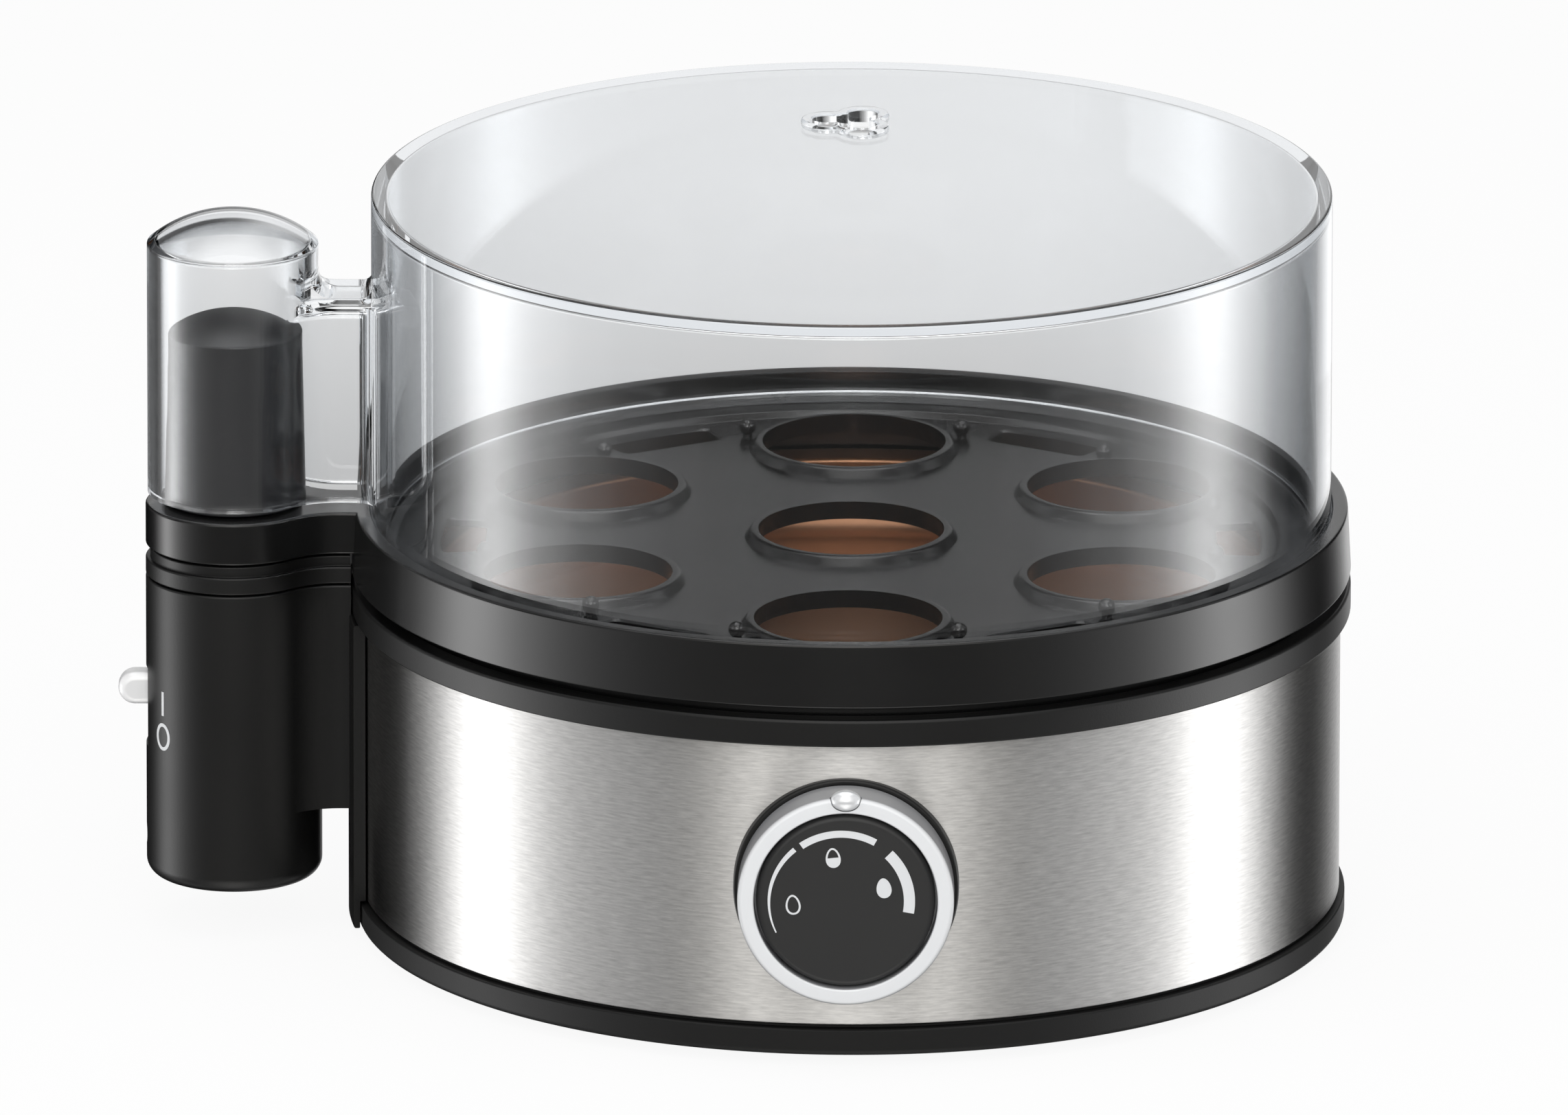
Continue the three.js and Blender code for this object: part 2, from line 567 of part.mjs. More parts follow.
// Clear lid: drum, domed tube over the grip post, and the hollow neck between them
function lid() {
  const inner = LID_RADIUS - LID_WALL;
  const drum = turned([
    [0, lidTop - LID_WALL],
    [inner - LID_EDGE, lidTop - LID_WALL],
    [inner, lidTop - LID_WALL - LID_EDGE],
    [inner, lidFoot],
    [LID_RADIUS, lidFoot],
    [LID_RADIUS, lidTop - LID_EDGE],
    [LID_RADIUS - LID_EDGE / 4, lidTop - LID_EDGE / 4],
    [LID_RADIUS - LID_EDGE, lidTop],
    [0, lidTop],
  ], DRUM_SIDES);
  const handleOutside = join(
    placed(turnedGeometry(domeProfile(TUBE_RADIUS, tubeFoot, shoulder, DOME_RISE), TOWER_SIDES),
      [-TOWER_OFFSET, 0, 0]),
    towerPrism(TUBE_INSET, LID_RADIUS - LID_WALL, tubeFoot, roofTop),
  );
  const hollowFoot = tubeFoot - OVERRUN;
  const handleInside = join(
    placed(turnedGeometry(domeProfile(TUBE_RADIUS - TUBE_WALL, hollowFoot, shoulder - TUBE_WALL / 2,
      DOME_RISE - TUBE_WALL / 4), TOWER_SIDES), [-TOWER_OFFSET, 0, 0]),
    towerPrism(TUBE_INSET + TUBE_WALL, LID_RADIUS - LID_WALL, hollowFoot, roofTop - ROOF_THICKNESS),
  );
  const handle = cut(handleOutside, handleInside,
    rod(LID_RADIUS - LID_WALL / 2, hollowFoot, lidTop, DRUM_SIDES));
  return cut(join(drum, handle, ventBody(VENT_RIM_WIDTH, lidTop - LID_WALL / 2, lidTop + VENT_RIM_HEIGHT)),
    ventBody(0, lidTop - LID_WALL - OVERRUN, lidTop + VENT_RIM_HEIGHT + OVERRUN));
}

// Profile of a shallow dome, from its edge to its top
function domeCap(radius, shoulderHeight, rise) {
  const sphere = (radius ** 2 + rise ** 2) / (2 * rise);
  const centre = shoulderHeight + rise - sphere;
  const edgeDeg = Math.asin(radius / sphere) * HALF_TURN_DEG / Math.PI;
  const cap = Array.from({ length: HALF_ARC_STEPS }, (_, i) => {
    const angle = radians(edgeDeg * (1 - i / HALF_ARC_STEPS));
    return [sphere * Math.sin(angle), centre + sphere * Math.cos(angle)];
  });
  return [...cap, [0, shoulderHeight + rise]];
}

// Profile of a tube closed by a shallow dome, solid inside
const domeProfile = (radius, foot, shoulderHeight, rise) => [
  [0, foot], [radius, foot], ...domeCap(radius, shoulderHeight, rise)];

// Three round lobes round a core make the steam vent, one lobe towards the tower
function ventBody(growth, low, high) {
  const lobes = Array.from({ length: VENT_LOBES }, (_, i) => {
    const [x, y] = polar(VENT_LOBE_OFFSET, HALF_TURN_DEG + i * FULL_DEG / VENT_LOBES);
    return uprightRod(VENT_LOBE_RADIUS + growth, low, high,
      VENT_SHIFT + x, VENT_SETBACK + y, ROUND_SIDES);
  });
  const core = uprightRod(VENT_CORE_RADIUS + growth, low, high, VENT_SHIFT, VENT_SETBACK, ROUND_SIDES);
  return join(core, ...lobes);
}

// Base pan: floor, lower band, spigot for the jacket, screw bosses, board posts, cooling slots
// and the mast that carries the tower
function basePan() {
  const dish = turned([
    [0, 0],
    [PAN_BAND_RADIUS - PAN_EDGE, 0],
    [PAN_BAND_RADIUS, PAN_EDGE],
    [PAN_BAND_RADIUS, PAN_BAND_HEIGHT],
    [spigotRadius, PAN_BAND_HEIGHT],
    [spigotRadius, PAN_BAND_HEIGHT + SPIGOT_HEIGHT],
    [spigotRadius - WALL, PAN_BAND_HEIGHT + SPIGOT_HEIGHT],
    [spigotRadius - WALL, PAN_FLOOR],
    [0, PAN_FLOOR],
  ], DRUM_SIDES);
  const mast = cut(
    sector(spigotRadius - WALL, spigotRadius, HALF_TURN_DEG, MAST_HALF_DEG,
      PAN_FLOOR, PAN_FLOOR + MAST_HEIGHT, ARC_STEPS),
    block([-spigotRadius - OVERRUN, -MAST_HOLE_HALF_WIDTH, LEVER_HEIGHT - MAST_HOLE_HALF_HEIGHT],
      [-spigotRadius + WALL + OVERRUN, MAST_HOLE_HALF_WIDTH, LEVER_HEIGHT + MAST_HOLE_HALF_HEIGHT]),
    ...towerScrewHeights().map((z) => rodAlongX(SCREW_HOLE_RADIUS, -spigotRadius - OVERRUN,
      -spigotRadius + WALL + OVERRUN, 0, z, SMALL_SIDES)),
  );
  const bosses = caseAngles.map((angle) => {
    const [x, y] = polar(CASE_SCREW_CIRCLE, angle);
    return uprightRod(CASE_BOSS_RADIUS, PAN_FLOOR / 2, PAN_FLOOR + CASE_BOSS_HEIGHT, x, y, SMALL_SIDES);
  });
  const bores = caseAngles.flatMap((angle) => {
    const [x, y] = polar(CASE_SCREW_CIRCLE, angle);
    return [
      uprightRod(CASE_BORE_RADIUS, -OVERRUN, PAN_FLOOR + CASE_BOSS_HEIGHT + OVERRUN, x, y, SMALL_SIDES),
      uprightRod(SCREW_HEAD_RADIUS + FIT, -OVERRUN, COUNTERBORE_DEPTH, x, y, SMALL_SIDES),
    ];
  });
  const counterboreWalls = caseAngles.map((angle) => {
    const [x, y] = polar(CASE_SCREW_CIRCLE, angle);
    const radius = SCREW_HEAD_RADIUS + FIT + WALL / 2;
    return uprightRod(radius, PAN_FLOOR / 2, COUNTERBORE_DEPTH + WALL, x, y, SMALL_SIDES);
  });
  const footRecesses = caseAngles.map((angle) => {
    const [x, y] = polar(FOOT_CIRCLE, angle);
    return uprightRod(FOOT_RADIUS + FIT, -OVERRUN, FOOT_RECESS, x, y, ROUND_SIDES);
  });
  const postBack = -BOARD_DISTANCE + FIT;
  const posts = [-1, 1].map((side) => block(
    [side * BOARD_POST_OFFSET - BOARD_POST_SIZE / 2, postBack, PAN_FLOOR / 2],
    [side * BOARD_POST_OFFSET + BOARD_POST_SIZE / 2, postBack + BOARD_POST_SIZE,
      KNOB_HEIGHT + BOARD_ABOVE_KNOB - BOARD_POST_TOP_MARGIN]));
  const boardBores = boardScrewPlaces().map(([x, z]) => placed(
    rodGeometry(SCREW_HOLE_RADIUS, -OVERRUN, BOARD_POST_SIZE, SMALL_SIDES),
    [x, postBack + BOARD_POST_SIZE - OVERRUN, z], [radians(RIGHT_DEG), 0, 0]));
  const slots = Array.from({ length: SLOT_COUNT }, (_, i) => {
    const x = (i - (SLOT_COUNT - 1) / 2) * SLOT_PITCH;
    return block([x - SLOT_WIDTH / 2, -SLOT_LENGTH - SLOT_PITCH, -OVERRUN],
      [x + SLOT_WIDTH / 2, -SLOT_PITCH, PAN_FLOOR + OVERRUN]);
  });
  const glandNotch = placed(rodGeometry(GLAND_RADIUS + FIT, spigotRadius - WALL - OVERRUN,
    spigotRadius + OVERRUN / 2, ROUND_SIDES), [0, 0, GLAND_HEIGHT], [-radians(RIGHT_DEG), 0, 0]);
  return cut(join(dish, mast, ...bosses, ...counterboreWalls, ...posts),
    ...bores, ...footRecesses, ...boardBores, ...slots, glandNotch);
}

// Heights of the two screws that hold the tower to the mast
function towerScrewHeights() {
  const low = PAN_BAND_HEIGHT + SPIGOT_HEIGHT + TOWER_SCREW_BOSS_RADIUS;
  return [low, LEVER_HEIGHT - MAST_HOLE_HALF_HEIGHT - 2 * TOWER_SCREW_BOSS_RADIUS];
}

// Places of the board's screws as [x, height]
function boardScrewPlaces() {
  const height = KNOB_HEIGHT + BOARD_ABOVE_KNOB - BOARD_SCREW_INSET - BOARD_POST_TOP_MARGIN;
  return [-1, 1].map((side) => [side * BOARD_POST_OFFSET, height]);
}

// Collar: upper band, raised rim, the ledge for bowl and carrier, and four screw columns
function upperCollar() {
  const ring = turned([
    [COLLAR_RIM_RADIUS, collarTop],
    [COLLAR_RIM_RADIUS, ledge],
    [LEDGE_INNER_RADIUS, ledge],
    [LEDGE_INNER_RADIUS, ledge - LEDGE_THICKNESS],
    [spigotRadius - WALL, ledge - LEDGE_THICKNESS],
    [spigotRadius - WALL, collarFoot - COLLAR_SPIGOT_HEIGHT],
    [spigotRadius, collarFoot - COLLAR_SPIGOT_HEIGHT],
    [spigotRadius, collarFoot],
    [COLLAR_RADIUS, collarFoot],
    [COLLAR_RADIUS, collarTop - RING_EDGE],
    [COLLAR_RADIUS - RING_EDGE, collarTop],
  ], DRUM_SIDES);
  const columnFoot = PAN_FLOOR + CASE_BOSS_HEIGHT + FIT;
  const columns = caseAngles.map((angle) => {
    const [x, y] = polar(CASE_SCREW_CIRCLE, angle);
    return cut(
      uprightRod(CASE_BOSS_RADIUS, columnFoot, ledge - LEDGE_THICKNESS / 2, x, y, SMALL_SIDES),
      uprightRod(CASE_BORE_RADIUS, columnFoot - OVERRUN, ledge - LEDGE_THICKNESS - WALL, x, y, SMALL_SIDES),
    );
  });
  const mastSlot = sector(spigotRadius - WALL - FIT, spigotRadius + FIT, HALF_TURN_DEG,
    MAST_HALF_DEG + 1, collarFoot - COLLAR_SPIGOT_HEIGHT - OVERRUN, collarFoot - FIT, HALF_ARC_STEPS);
  return cut(join(ring, ...columns), mastSlot);
}

// Steel jacket: a sheet bent round the drum, open behind the tower, with holes for knob and gland
function steelJacket() {
  const sheet = sector(DRUM_RADIUS - JACKET_THICKNESS, DRUM_RADIUS, 0,
    HALF_TURN_DEG - JACKET_GAP_DEG, jacketFoot, jacketTop, DRUM_SIDES);
  const knobHole = placed(rodGeometry(BEZEL_BOSS_RADIUS + FIT, DRUM_RADIUS / 2,
    DRUM_RADIUS + OVERRUN, KNOB_SIDES), [0, 0, KNOB_HEIGHT], [radians(RIGHT_DEG), 0, 0]);
  const glandHole = placed(rodGeometry(GLAND_RADIUS + FIT, DRUM_RADIUS / 2,
    DRUM_RADIUS + OVERRUN, ROUND_SIDES), [0, 0, GLAND_HEIGHT], [-radians(RIGHT_DEG), 0, 0]);
  return cut(sheet, knobHole, glandHole);
}

// Tower housing: round shell, neck and the pillar that closes the jacket's gap
function towerHousing() {
  const shell = placed(turnedGeometry([
    [0, TOWER_UNDERSIDE],
    [TOWER_RADIUS - TOWER_EDGE, TOWER_UNDERSIDE],
    [TOWER_RADIUS - TOWER_EDGE / 3, TOWER_UNDERSIDE + TOWER_EDGE / 3],
    [TOWER_RADIUS, TOWER_UNDERSIDE + TOWER_EDGE],
    [TOWER_RADIUS, housingTop],
    [0, housingTop],
  ], TOWER_SIDES), [-TOWER_OFFSET, 0, 0]);
  const neck = cut(
    towerPrism(0, DRUM_RADIUS, NECK_UNDERSIDE, housingTop),
    rod(neckEndRadius, NECK_UNDERSIDE - OVERRUN, housingTop + OVERRUN, DRUM_SIDES),
  );
  const pillar = (radius, top) => cut(
    sector(DRUM_RADIUS + FIT, radius, HALF_TURN_DEG, PILLAR_HALF_DEG, PILLAR_FOOT, top, ARC_STEPS),
    rod(PAN_BAND_RADIUS + FIT, 0, jacketFoot, DRUM_SIDES),
  );
  const hollow = join(
    uprightRod(towerInnerRadius, TOWER_UNDERSIDE + WALL, housingTop + OVERRUN,
      -TOWER_OFFSET, 0, TOWER_SIDES),
    towerPrism(WALL, DRUM_RADIUS - OVERRUN, NECK_UNDERSIDE + WALL, housingTop + OVERRUN),
  );
  const pillarKeep = pillar(PILLAR_RADIUS - FIT, LEVER_HEIGHT - MAST_HOLE_HALF_HEIGHT);
  const bosses = towerScrewHeights().map((z) => cut(
    rodAlongX(TOWER_SCREW_BOSS_RADIUS, -PILLAR_RADIUS + WALL / 4, -spigotRadius - FIT, 0, z, SMALL_SIDES),
    rodAlongX(SCREW_HOLE_RADIUS, -PILLAR_RADIUS + WALL / 2, -spigotRadius + OVERRUN, 0, z, SMALL_SIDES),
  ));
  const screwBores = towerScrewHeights().map((z) => rodAlongX(SCREW_HOLE_RADIUS,
    -PILLAR_RADIUS + WALL / 2, -spigotRadius + OVERRUN, 0, z, SMALL_SIDES));
  const outerX = -TOWER_OFFSET - TOWER_RADIUS;
  const slotTop = LEVER_HEIGHT + LEVER_THICKNESS / 2 + FIT;
  const slotFoot = LEVER_HEIGHT - LEVER_TRAVEL - LEVER_THICKNESS / 2 - FIT;
  const slot = block([outerX - OVERRUN, -LEVER_WIDTH / 2 - FIT, slotFoot],
    [outerX + WALL + OVERRUN, LEVER_WIDTH / 2 + FIT, slotTop]);
  const recess = block(
    [outerX - OVERRUN, -LEVER_WIDTH / 2 - SWITCH_RECESS_MARGIN, slotFoot - SWITCH_RECESS_MARGIN],
    [outerX + SWITCH_RECESS_DEPTH, LEVER_WIDTH / 2 + SWITCH_RECESS_MARGIN, slotTop + SWITCH_RECESS_MARGIN]);
  const lensHole = rodAlongX(LENS_RADIUS + FIT, outerX - OVERRUN, outerX + WALL + OVERRUN,
    0, LAMP_HEIGHT, SMALL_SIDES);
  const body = join(cut(join(shell, neck, pillar(PILLAR_RADIUS, jacketTop)), hollow), pillarKeep, ...bosses);
  return cut(body, ...screwBores, slot, recess, lensHole);
}

// Tower cap: the band above the seam, a plug in the housing and a register for the carrier
function towerCap() {
  const plinthTop = capTop + CAP_PLINTH_HEIGHT;
  const registerTop = plinthTop + CAP_REGISTER_HEIGHT;
  const body = join(
    towerPrism(0, DRUM_RADIUS, towerSeam, capTop),
    towerPrism(CAP_PLINTH_INSET, DRUM_RADIUS, capTop - FIT, plinthTop),
    towerPrism(CAP_REGISTER_INSET, RING_BOTTOM_RADIUS + WALL, plinthTop - FIT, registerTop),
    uprightRod(towerInnerRadius - FIT, towerSeam - CAP_PLUG_DEPTH, towerSeam + FIT,
      -TOWER_OFFSET, 0, TOWER_SIDES),
  );
  return cut(body,
    rod(neckEndRadius, towerSeam - OVERRUN, registerTop + OVERRUN, DRUM_SIDES),
    uprightRod(towerInnerRadius - FIT - WALL, towerSeam - CAP_PLUG_DEPTH - OVERRUN, plinthTop - FIT,
      -TOWER_OFFSET, 0, TOWER_SIDES));
}

// Lever of the mains switch: a rounded tongue through the slot, with a plate that hides the slot
function switchLever() {
  const outerX = -TOWER_OFFSET - TOWER_RADIUS;
  const innerX = outerX + WALL + LEVER_PLATE_SETBACK;
  const half = LEVER_THICKNESS / 2;
  const tip = outerX - LEVER_REACH;
  const outline = [
    new THREE.Vector2(innerX, -half),
    ...arc(tip + half, 0, half, 3 * RIGHT_DEG, RIGHT_DEG, ARC_STEPS),
    new THREE.Vector2(innerX, half),
  ];
  const shape = new THREE.Shape(outline);
  const tongue = new THREE.ExtrudeGeometry(shape, { depth: LEVER_WIDTH, bevelEnabled: false });
  const plateHalf = LEVER_TRAVEL + half + FIT + SWITCH_RECESS_MARGIN / 2;
  return join(
    placed(tongue.translate(0, 0, -LEVER_WIDTH / 2), [0, 0, LEVER_HEIGHT], [radians(RIGHT_DEG), 0, 0]),
    block([innerX - FIT, -LEVER_PLATE_HALF_WIDTH, LEVER_HEIGHT - plateHalf],
      [innerX - FIT + LEVER_PLATE_THICKNESS, LEVER_PLATE_HALF_WIDTH, LEVER_HEIGHT + plateHalf]),
  );
}

// Where the switch's face, its back and the bracket lie along X
const leverPlateFront = -TOWER_OFFSET - TOWER_RADIUS + WALL + LEVER_PLATE_SETBACK - FIT;
const leverPlateBack = leverPlateFront + LEVER_PLATE_THICKNESS;
const switchFront = leverPlateBack + FIT;
const switchBack = switchFront + SWITCH_DEPTH;
const bracketFront = switchBack + FIT;
const bracketBack = bracketFront + BRACKET_THICKNESS;

function switchBody() {
  const low = LEVER_HEIGHT - LEVER_TRAVEL - LEVER_THICKNESS / 2 - SWITCH_MARGIN;
  const high = LEVER_HEIGHT + LEVER_THICKNESS / 2 + SWITCH_MARGIN;
  return block([switchFront, -SWITCH_HALF_WIDTH, low], [switchBack, SWITCH_HALF_WIDTH, high]);
}

// Upright plate on the tower's floor that carries the switch and the pilot lamp
function switchBracket() {
  const foot = TOWER_UNDERSIDE + WALL + FIT;
  const top = LEVER_HEIGHT + LEVER_THICKNESS / 2 + SWITCH_MARGIN;
  return join(
    block([bracketFront, -BRACKET_HALF_WIDTH, foot], [bracketBack, BRACKET_HALF_WIDTH, top]),
    block([bracketBack - FIT, -BRACKET_HALF_WIDTH, foot],
      [bracketBack + SWITCH_DEPTH, BRACKET_HALF_WIDTH, foot + BRACKET_THICKNESS]),
  );
}

// Lens of the pilot lamp, pushed through the tower's wall from inside
function lampLens() {
  const outerX = -TOWER_OFFSET - TOWER_RADIUS;
  const seatX = -TOWER_OFFSET - Math.sqrt(towerInnerRadius ** 2 - LENS_FLANGE_RADIUS ** 2) + FIT;
  return join(
    rodAlongX(LENS_RADIUS, outerX + LENS_SETBACK, seatX + LENS_FLANGE_THICKNESS,
      0, LAMP_HEIGHT, SMALL_SIDES),
    rodAlongX(LENS_FLANGE_RADIUS, seatX, seatX + LENS_FLANGE_THICKNESS, 0, LAMP_HEIGHT, SMALL_SIDES),
  );
}

function pilotLamp() {
  const back = bracketFront - FIT;
  const front = back - LAMP_LENGTH;
  return join(
    rodAlongX(LAMP_RADIUS, front, back, 0, LAMP_HEIGHT, SMALL_SIDES),
    block([back - LAMP_RADIUS, -LENS_FLANGE_RADIUS, LAMP_HEIGHT - LENS_FLANGE_RADIUS],
      [back, LENS_FLANGE_RADIUS, LAMP_HEIGHT + LENS_FLANGE_RADIUS]),
  );
}

// Knob pieces are built on their own axis: local Z points out of the front, local Y is up
const bezelFront = DRUM_RADIUS + BEZEL_RISE;
const knobBack = bezelFront + FIT;
const knobFront = knobBack + KNOB_DEPTH;
const webFront = knobFront - KNOB_POCKET_DEPTH;
const webBack = webFront - KNOB_WEB;
const boardFront = BOARD_DISTANCE + BOARD_THICKNESS;
const encoderBack = boardFront + FIT;
const encoderFront = encoderBack + ENCODER_DEPTH;
const sleeveBack = encoderBack + ENCODER_DEPTH / 3;

// Bezel: a collar that follows the round steel, with a boss through it
function knobBezel() {
  const collar = cut(
    rod(BEZEL_RADIUS, DRUM_RADIUS - BEZEL_BOSS_DEPTH, bezelFront, KNOB_SIDES),
    placed(rodGeometry(DRUM_RADIUS + FIT, -BEZEL_RADIUS - OVERRUN, BEZEL_RADIUS + OVERRUN, DRUM_SIDES),
      [0, 0, 0], [radians(RIGHT_DEG), 0, 0]),
  );
  const bossBack = DRUM_RADIUS - BEZEL_BOSS_DEPTH;
  const boss = rod(BEZEL_BOSS_RADIUS, bossBack, bezelFront, KNOB_SIDES);
  const bore = rod(BEZEL_BORE_RADIUS, bossBack - OVERRUN, bezelFront + OVERRUN, ROUND_SIDES);
  return cut(join(collar, boss), bore);
}

// Ellipsoid for the pointer nub, grown for its seat in the ring
function nubBody(growth) {
  const sphere = new THREE.SphereGeometry(1, SMALL_SIDES, SMALL_SIDES - 2);
  sphere.scale(NUB_HALF_WIDTH + growth, NUB_HALF_HEIGHT + growth, NUB_HALF_DEPTH + growth);
  return placed(sphere, [0, KNOB_RADIUS - KNOB_RIM_WIDTH / 2 + KNOB_EDGE, knobFront - KNOB_EDGE]);
}

// Ring knob: rim, web behind the scale disc, and the sleeve that turns the encoder
function knobRing() {
  const pocketRadius = KNOB_RADIUS - KNOB_RIM_WIDTH;
  const ring = turned([
    [KNOB_SLEEVE_BORE, sleeveBack],
    [KNOB_SLEEVE_RADIUS, sleeveBack],
    [KNOB_SLEEVE_RADIUS, webBack],
    [pocketRadius, webBack],
    [pocketRadius, knobBack],
    [KNOB_RADIUS, knobBack],
    [KNOB_RADIUS, knobFront - KNOB_EDGE],
    [KNOB_RADIUS - KNOB_EDGE, knobFront],
    [pocketRadius, knobFront],
    [pocketRadius, webFront],
    [KNOB_SLEEVE_BORE, webFront],
  ], KNOB_SIDES);
  return cut(ring, nubBody(FIT));
}

// Fixed scale disc on a post that passes through the ring's sleeve to the board
function dialDisc() {
  const back = webFront + FIT;
  const front = back + DISC_THICKNESS;
  return turned([
    [0, BOARD_DISTANCE - DIAL_NUT_THICKNESS - 2 * FIT],
    [DISC_POST_RADIUS, BOARD_DISTANCE - DIAL_NUT_THICKNESS - 2 * FIT],
    [DISC_POST_RADIUS, back],
    [DISC_RADIUS, back],
    [DISC_RADIUS, front - DISC_EDGE],
    [DISC_RADIUS - DISC_EDGE / 3, front - DISC_EDGE / 3],
    [DISC_RADIUS - DISC_EDGE, front],
    [0, front],
  ], KNOB_SIDES);
}

function encoder() {
  const size = ENCODER_HALF_SIZE;
  return cut(block([-size, -size, encoderBack], [size, size, encoderFront]),
    rod(KNOB_SLEEVE_RADIUS + FIT, encoderBack - OVERRUN, encoderFront + OVERRUN, ROUND_SIDES));
}

function dialNut() {
  const front = BOARD_DISTANCE - FIT;
  return nut(DIAL_NUT_RADIUS, DISC_POST_RADIUS + FIT, front - DIAL_NUT_THICKNESS, front);
}

// Control board, upright behind the knob
function controlBoard() {
  const plate = block([-BOARD_HALF_WIDTH, -BOARD_BELOW_KNOB, BOARD_DISTANCE],
    [BOARD_HALF_WIDTH, BOARD_ABOVE_KNOB, boardFront]);
  const holes = boardScrewPlaces().map(([x, z]) => placed(
    rodGeometry(SCREW_HOLE_RADIUS, BOARD_DISTANCE - OVERRUN, boardFront + OVERRUN, SMALL_SIDES),
    [x, z - KNOB_HEIGHT, 0]));
  const postHole = rod(DISC_POST_RADIUS + FIT, BOARD_DISTANCE - OVERRUN, boardFront + OVERRUN, ROUND_SIDES);
  return cut(plate, postHole, ...holes);
}

// Components on the board's rear face, side by side under the knob's axis
const partsHeight = -BOARD_BELOW_KNOB / 2;
const partsFront = BOARD_DISTANCE - FIT;

function relay() {
  const [width, height, depth] = RELAY_SIZE;
  return block([-PART_SPACING - width / 2, partsHeight - height / 2, partsFront - depth],
    [-PART_SPACING + width / 2, partsHeight + height / 2, partsFront]);
}

function capacitor() {
  return placed(rodGeometry(CAPACITOR_RADIUS, partsFront - CAPACITOR_LENGTH, partsFront, ROUND_SIDES),
    [0, partsHeight, 0]);
}

function buzzer() {
  const front = partsFront - BUZZER_LENGTH;
  const can = turnedGeometry([
    [0, front + OVERRUN],
    [WALL / 2, front + OVERRUN],
    [WALL / 2, front],
    [BUZZER_RADIUS, front],
    [BUZZER_RADIUS, partsFront],
    [0, partsFront],
  ], ROUND_SIDES);
  return placed(can, [PART_SPACING, partsHeight, 0]);
}

// Heating bowl: pressed dish with a flange on the collar's ledge and a stud under its centre
function heatingBowl() {
  const cornerX = BOWL_RADIUS - BOWL_CORNER;
  const cornerZ = bowlFloor + BOWL_CORNER;
  const bend = (radius) => arc(cornerX, cornerZ, radius, -RIGHT_DEG, 0, HALF_ARC_STEPS)
    .map((point) => [point.x, point.y]);
  const dish = turned([
    [0, bowlFloor],
    ...bend(BOWL_CORNER),
    [BOWL_RADIUS, flangeTop],
    [BOWL_FLANGE_RADIUS, flangeTop],
    [BOWL_FLANGE_RADIUS, flangeTop - BOWL_SHEET],
    [BOWL_RADIUS + BOWL_SHEET, flangeTop - BOWL_SHEET],
    ...bend(BOWL_CORNER + BOWL_SHEET).reverse(),
    [0, bowlUnderside],
  ], BOWL_SIDES);
  return join(dish, rod(STUD_RADIUS, studFoot, bowlUnderside + BOWL_SHEET / 2, SMALL_SIDES));
}

function bowlSeal() {
  return tube(BOWL_FLANGE_RADIUS - SEAL_WIDTH, BOWL_FLANGE_RADIUS, sealFoot,
    sealFoot + SEAL_THICKNESS, BOWL_SIDES);
}

function heatSpreader() {
  const inner = SPREADER_OUTER_RADIUS - SPREADER_WIDTH;
  return tube(inner, SPREADER_OUTER_RADIUS, spreaderFoot, spreaderTop, BOWL_SIDES);
}

// Points on the element's circle, counted from the gap at the back
function elementPoint(share) {
  const start = RIGHT_DEG + ELEMENT_GAP_DEG / 2;
  const [x, y] = polar(ELEMENT_CIRCLE_RADIUS, start + share * (FULL_DEG - ELEMENT_GAP_DEG));
  return new THREE.Vector3(x, y, elementAxis);
}

// Round-section tube along a path
function pathTube(path, radius, steps, sides) {
  const section = new THREE.Shape(arc(0, 0, radius, 0, FULL_DEG - FULL_DEG / sides, sides - 1));
  return solid(new THREE.ExtrudeGeometry(section, { steps, bevelEnabled: false, extrudePath: path }));
}

class ElementCurve extends THREE.Curve {
  getPoint(share, target = new THREE.Vector3()) {
    return target.copy(elementPoint(share));
  }
}

function heatingElement() {
  return pathTube(new ElementCurve(), ELEMENT_TUBE_RADIUS, DRUM_SIDES / 2, PEG_SIDES);
}

// Blade terminal at one end of the element; side is -1 at its start and 1 at its end
function elementTerminal(side) {
  const point = elementPoint(side < 0 ? 0 : 1);
  const start = side * (ELEMENT_END_X - FIT);
  const end = start - side * TERMINAL_LENGTH;
  return block([Math.min(start, end), point.y - TERMINAL_WIDTH / 2, elementAxis - TERMINAL_THICKNESS / 2],
    [Math.max(start, end), point.y + TERMINAL_WIDTH / 2, elementAxis + TERMINAL_THICKNESS / 2]);
}

// Strap that presses the element against the bowl, with its nut on the bowl's stud
function elementStrap() {
  return cut(
    block([-STRAP_HALF_LENGTH, -STRAP_HALF_WIDTH, strapFoot],
      [STRAP_HALF_LENGTH, STRAP_HALF_WIDTH, strapTop]),
    rod(STUD_RADIUS + FIT, strapFoot - OVERRUN, strapTop + OVERRUN, SMALL_SIDES),
  );
}

function strapNut() {
  return nut(STUD_NUT_RADIUS, STUD_RADIUS + FIT, nutTop - STUD_NUT_THICKNESS, nutTop);
}

function thermostat() {
  const top = bowlUnderside - FIT;
  return placed(turnedGeometry([
    [0, top - THERMOSTAT_HEIGHT],
    [THERMOSTAT_RADIUS - WALL, top - THERMOSTAT_HEIGHT],
    [THERMOSTAT_RADIUS - WALL, top - WALL],
    [THERMOSTAT_RADIUS, top - WALL],
    [THERMOSTAT_RADIUS, top],
    [0, top],
  ], ROUND_SIDES), [0, THERMOSTAT_OFFSET, 0]);
}

function thermalFuse() {
  const z = bowlUnderside - FIT - FUSE_RADIUS;
  return rodAlongX(FUSE_RADIUS, -FUSE_LENGTH / 2, FUSE_LENGTH / 2, -FUSE_OFFSET, z, SMALL_SIDES);
}

